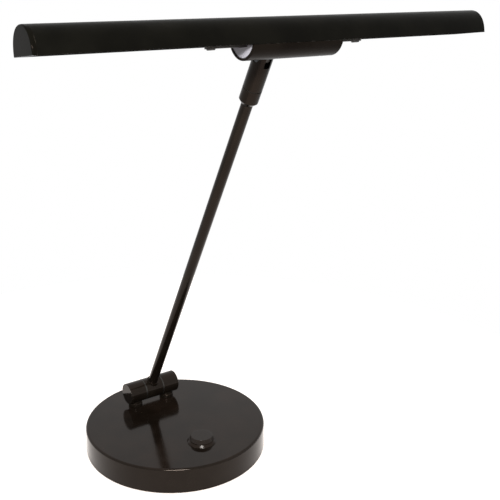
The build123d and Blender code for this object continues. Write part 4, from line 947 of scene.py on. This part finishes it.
class LAMP_OT_studio(bpy.types.Operator):
    """Sets the lamp on a pale floor in a soft studio, with the camera in front of its left side"""

    bl_idname = "lamp.studio"
    bl_label = "Set up the Studio"

    def execute(self, context):
        studio = context.scene.lamp_studio
        self.lay_floor(studio)
        self.light_world(context, studio)
        self.hang_lamps(context)
        self.place_camera(context, studio)
        context.scene.view_settings.view_transform = "Standard"
        return {"FINISHED"}

    def lay_floor(self, studio):
        bpy.ops.object.select_all(action="DESELECT")
        bpy.ops.mesh.primitive_circle_add(vertices=96, radius=studio.floor_radius, fill_type="NGON")
        floor = bpy.context.active_object
        floor.name = "studio_floor"
        material, tree, shader = new_material("floor_paper")
        place = object_space(tree)
        fibre = add_noise(tree, place, 900.0, 2.0)
        set_bump(tree, shader, fibre.outputs["Fac"], 0.00002)
        shader.inputs["Base Color"].default_value = (*studio.floor_colour, 1)
        shader.inputs["Roughness"].default_value = 0.9
        set_mirror(shader, 0.1, tint=CLEAR_MIRROR)
        seen = background_rays(tree)
        shader.inputs["Emission Color"].default_value = (1, 1, 1, 1)
        # The floor's white glow fades where the lamp stands close: a painted contact shadow.
        painted_contact_shadow = add_node(tree, "ShaderNodeAmbientOcclusion", {"Distance": PAINTED_SHADOW_REACH}, samples=16)
        glow_with_painted_shadow = remap(tree, painted_contact_shadow.outputs["AO"], 0.15, 0.75, 0.0, FLOOR_LIFT)
        tree.links.new(maths(tree, "MULTIPLY", seen, glow_with_painted_shadow), shader.inputs["Emission Strength"])
        floor.data.materials.append(material)

    def light_world(self, context, studio):
        world = bpy.data.worlds.new("studio_world")
        context.scene.world = world
        world.use_nodes = True
        tree = world.node_tree
        tree.nodes.clear()
        heading = add_node(
            tree, "ShaderNodeSeparateXYZ", {0: tree.nodes.new("ShaderNodeTexCoord").outputs["Generated"]})
        beyond = remap(tree, heading.outputs["Y"], -0.05, 0.70, 0.0, studio.backdrop)
        right = remap(tree, heading.outputs["X"], 0.35, 0.95, 0.0, studio.right_wall)
        low = remap(tree, heading.outputs["Z"], 0.44, 0.60, 1.0, 0.14)
        ground = remap(tree, heading.outputs["Z"], -0.04, 0.10, 0.10, 1.0)
        sides = maths(tree, "MAXIMUM", beyond, right)
        walls = maths(tree, "MULTIPLY", sides, maths(tree, "MULTIPLY", low, ground))
        room = maths(tree, "ADD", walls, ROOM_REST)
        seen = background_rays(tree)
        lit = shade_between(tree, seen, studio.wall_colour, (1, 1, 1))
        level = add_node(tree, "ShaderNodeMix", {"Factor": seen}, data_type="FLOAT")
        tree.links.new(room, level.inputs[2])
        level.inputs[3].default_value = 1.0
        back = add_node(tree, "ShaderNodeBackground", {"Color": lit, "Strength": level.outputs[0]})
        out = tree.nodes.new("ShaderNodeOutputWorld")
        tree.links.new(back.outputs[0], out.inputs["Surface"])

    def hang_lamps(self, context):
        for name, turn, rise, distance, width, height, power, mirrored in STUDIO_LAMPS:
            a, e = math.radians(turn), math.radians(rise)
            away = Vector((math.cos(a) * math.cos(e), math.sin(a) * math.cos(e), math.sin(e)))
            light = bpy.data.lights.new(name + "_lamp", "AREA")
            light.shape = "ELLIPSE"
            light.size, light.size_y = width, height
            light.color = LAMP_COLOUR
            light.energy = power
            lamp = bpy.data.objects.new(name + "_lamp", light)
            lamp.visible_glossy = mirrored
            lamp.location = LAMP_AIM + away * distance
            lamp.rotation_mode = "QUATERNION"
            lamp.rotation_quaternion = (-away).to_track_quat("-Z", "Y")
            context.collection.objects.link(lamp)

    def place_camera(self, context, studio):
        lens = bpy.data.cameras.new("camera")
        lens.lens = studio.lens
        lens.sensor_width = 36
        lens.clip_start, lens.clip_end = 0.01, 100
        camera = bpy.data.objects.new("camera", lens)
        yaw, pitch, roll = (math.radians(angle) for angle in CAMERA_TURN)
        ahead = Vector((math.sin(yaw) * math.cos(pitch), math.cos(yaw) * math.cos(pitch), math.sin(pitch)))
        right = Vector((math.cos(yaw), -math.sin(yaw), 0))
        up = right.cross(ahead)
        rolled_right = right * math.cos(roll) + up * math.sin(roll)
        rolled_up = up * math.cos(roll) - right * math.sin(roll)
        turn = Matrix((rolled_right, rolled_up, -ahead)).transposed().to_4x4()
        camera.matrix_world = Matrix.Translation(CAMERA_PLACE) @ turn
        context.collection.objects.link(camera)
        context.scene.camera = camera


# ---- Panel and registration ----

STEPS = (
    LAMP_OT_stand_enamel, LAMP_OT_arm_enamel, LAMP_OT_shade_enamel, LAMP_OT_cap_enamel,
    LAMP_OT_housing_enamel, LAMP_OT_knob_finish, LAMP_OT_plated_hardware, LAMP_OT_blackened_hardware,
    LAMP_OT_mounting_bar_finish, LAMP_OT_slip_washers, LAMP_OT_end_plugs, LAMP_OT_moulded_parts,
    LAMP_OT_circuit_boards, LAMP_OT_lead_jackets, LAMP_OT_underside, LAMP_OT_heat_sink,
    LAMP_OT_light_sources, LAMP_OT_ribbed_diffuser, LAMP_OT_studio,
)


class LAMP_PT_steps(bpy.types.Panel):
    """Lists the lamp's settings and the steps that use them"""

    bl_idname = "LAMP_PT_steps"
    bl_label = "Piano Lamp"
    bl_space_type = "VIEW_3D"
    bl_region_type = "UI"
    bl_category = "Piano Lamp"

    def draw(self, context):
        for group in (context.scene.lamp_finishes, context.scene.lamp_details, context.scene.lamp_studio):
            box = self.layout.box()
            for name in group.__annotations__:
                box.prop(group, name)
        for step in STEPS:
            self.layout.operator(step.bl_idname)


CLASSES = (LampFinishes, LampDetails, LampStudio, *STEPS, LAMP_PT_steps)


def register():
    for cls in CLASSES:
        bpy.utils.register_class(cls)
    bpy.types.Scene.lamp_finishes = bpy.props.PointerProperty(type=LampFinishes)
    bpy.types.Scene.lamp_details = bpy.props.PointerProperty(type=LampDetails)
    bpy.types.Scene.lamp_studio = bpy.props.PointerProperty(type=LampStudio)


def unregister():
    del bpy.types.Scene.lamp_studio, bpy.types.Scene.lamp_details, bpy.types.Scene.lamp_finishes
    for cls in reversed(CLASSES):
        bpy.utils.unregister_class(cls)


def main():
    """Registers the add-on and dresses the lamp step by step."""
    register()
    for step in STEPS:
        group, name = step.bl_idname.split(".")
        getattr(getattr(bpy.ops, group), name)()


if __name__ == "__main__":
    main()
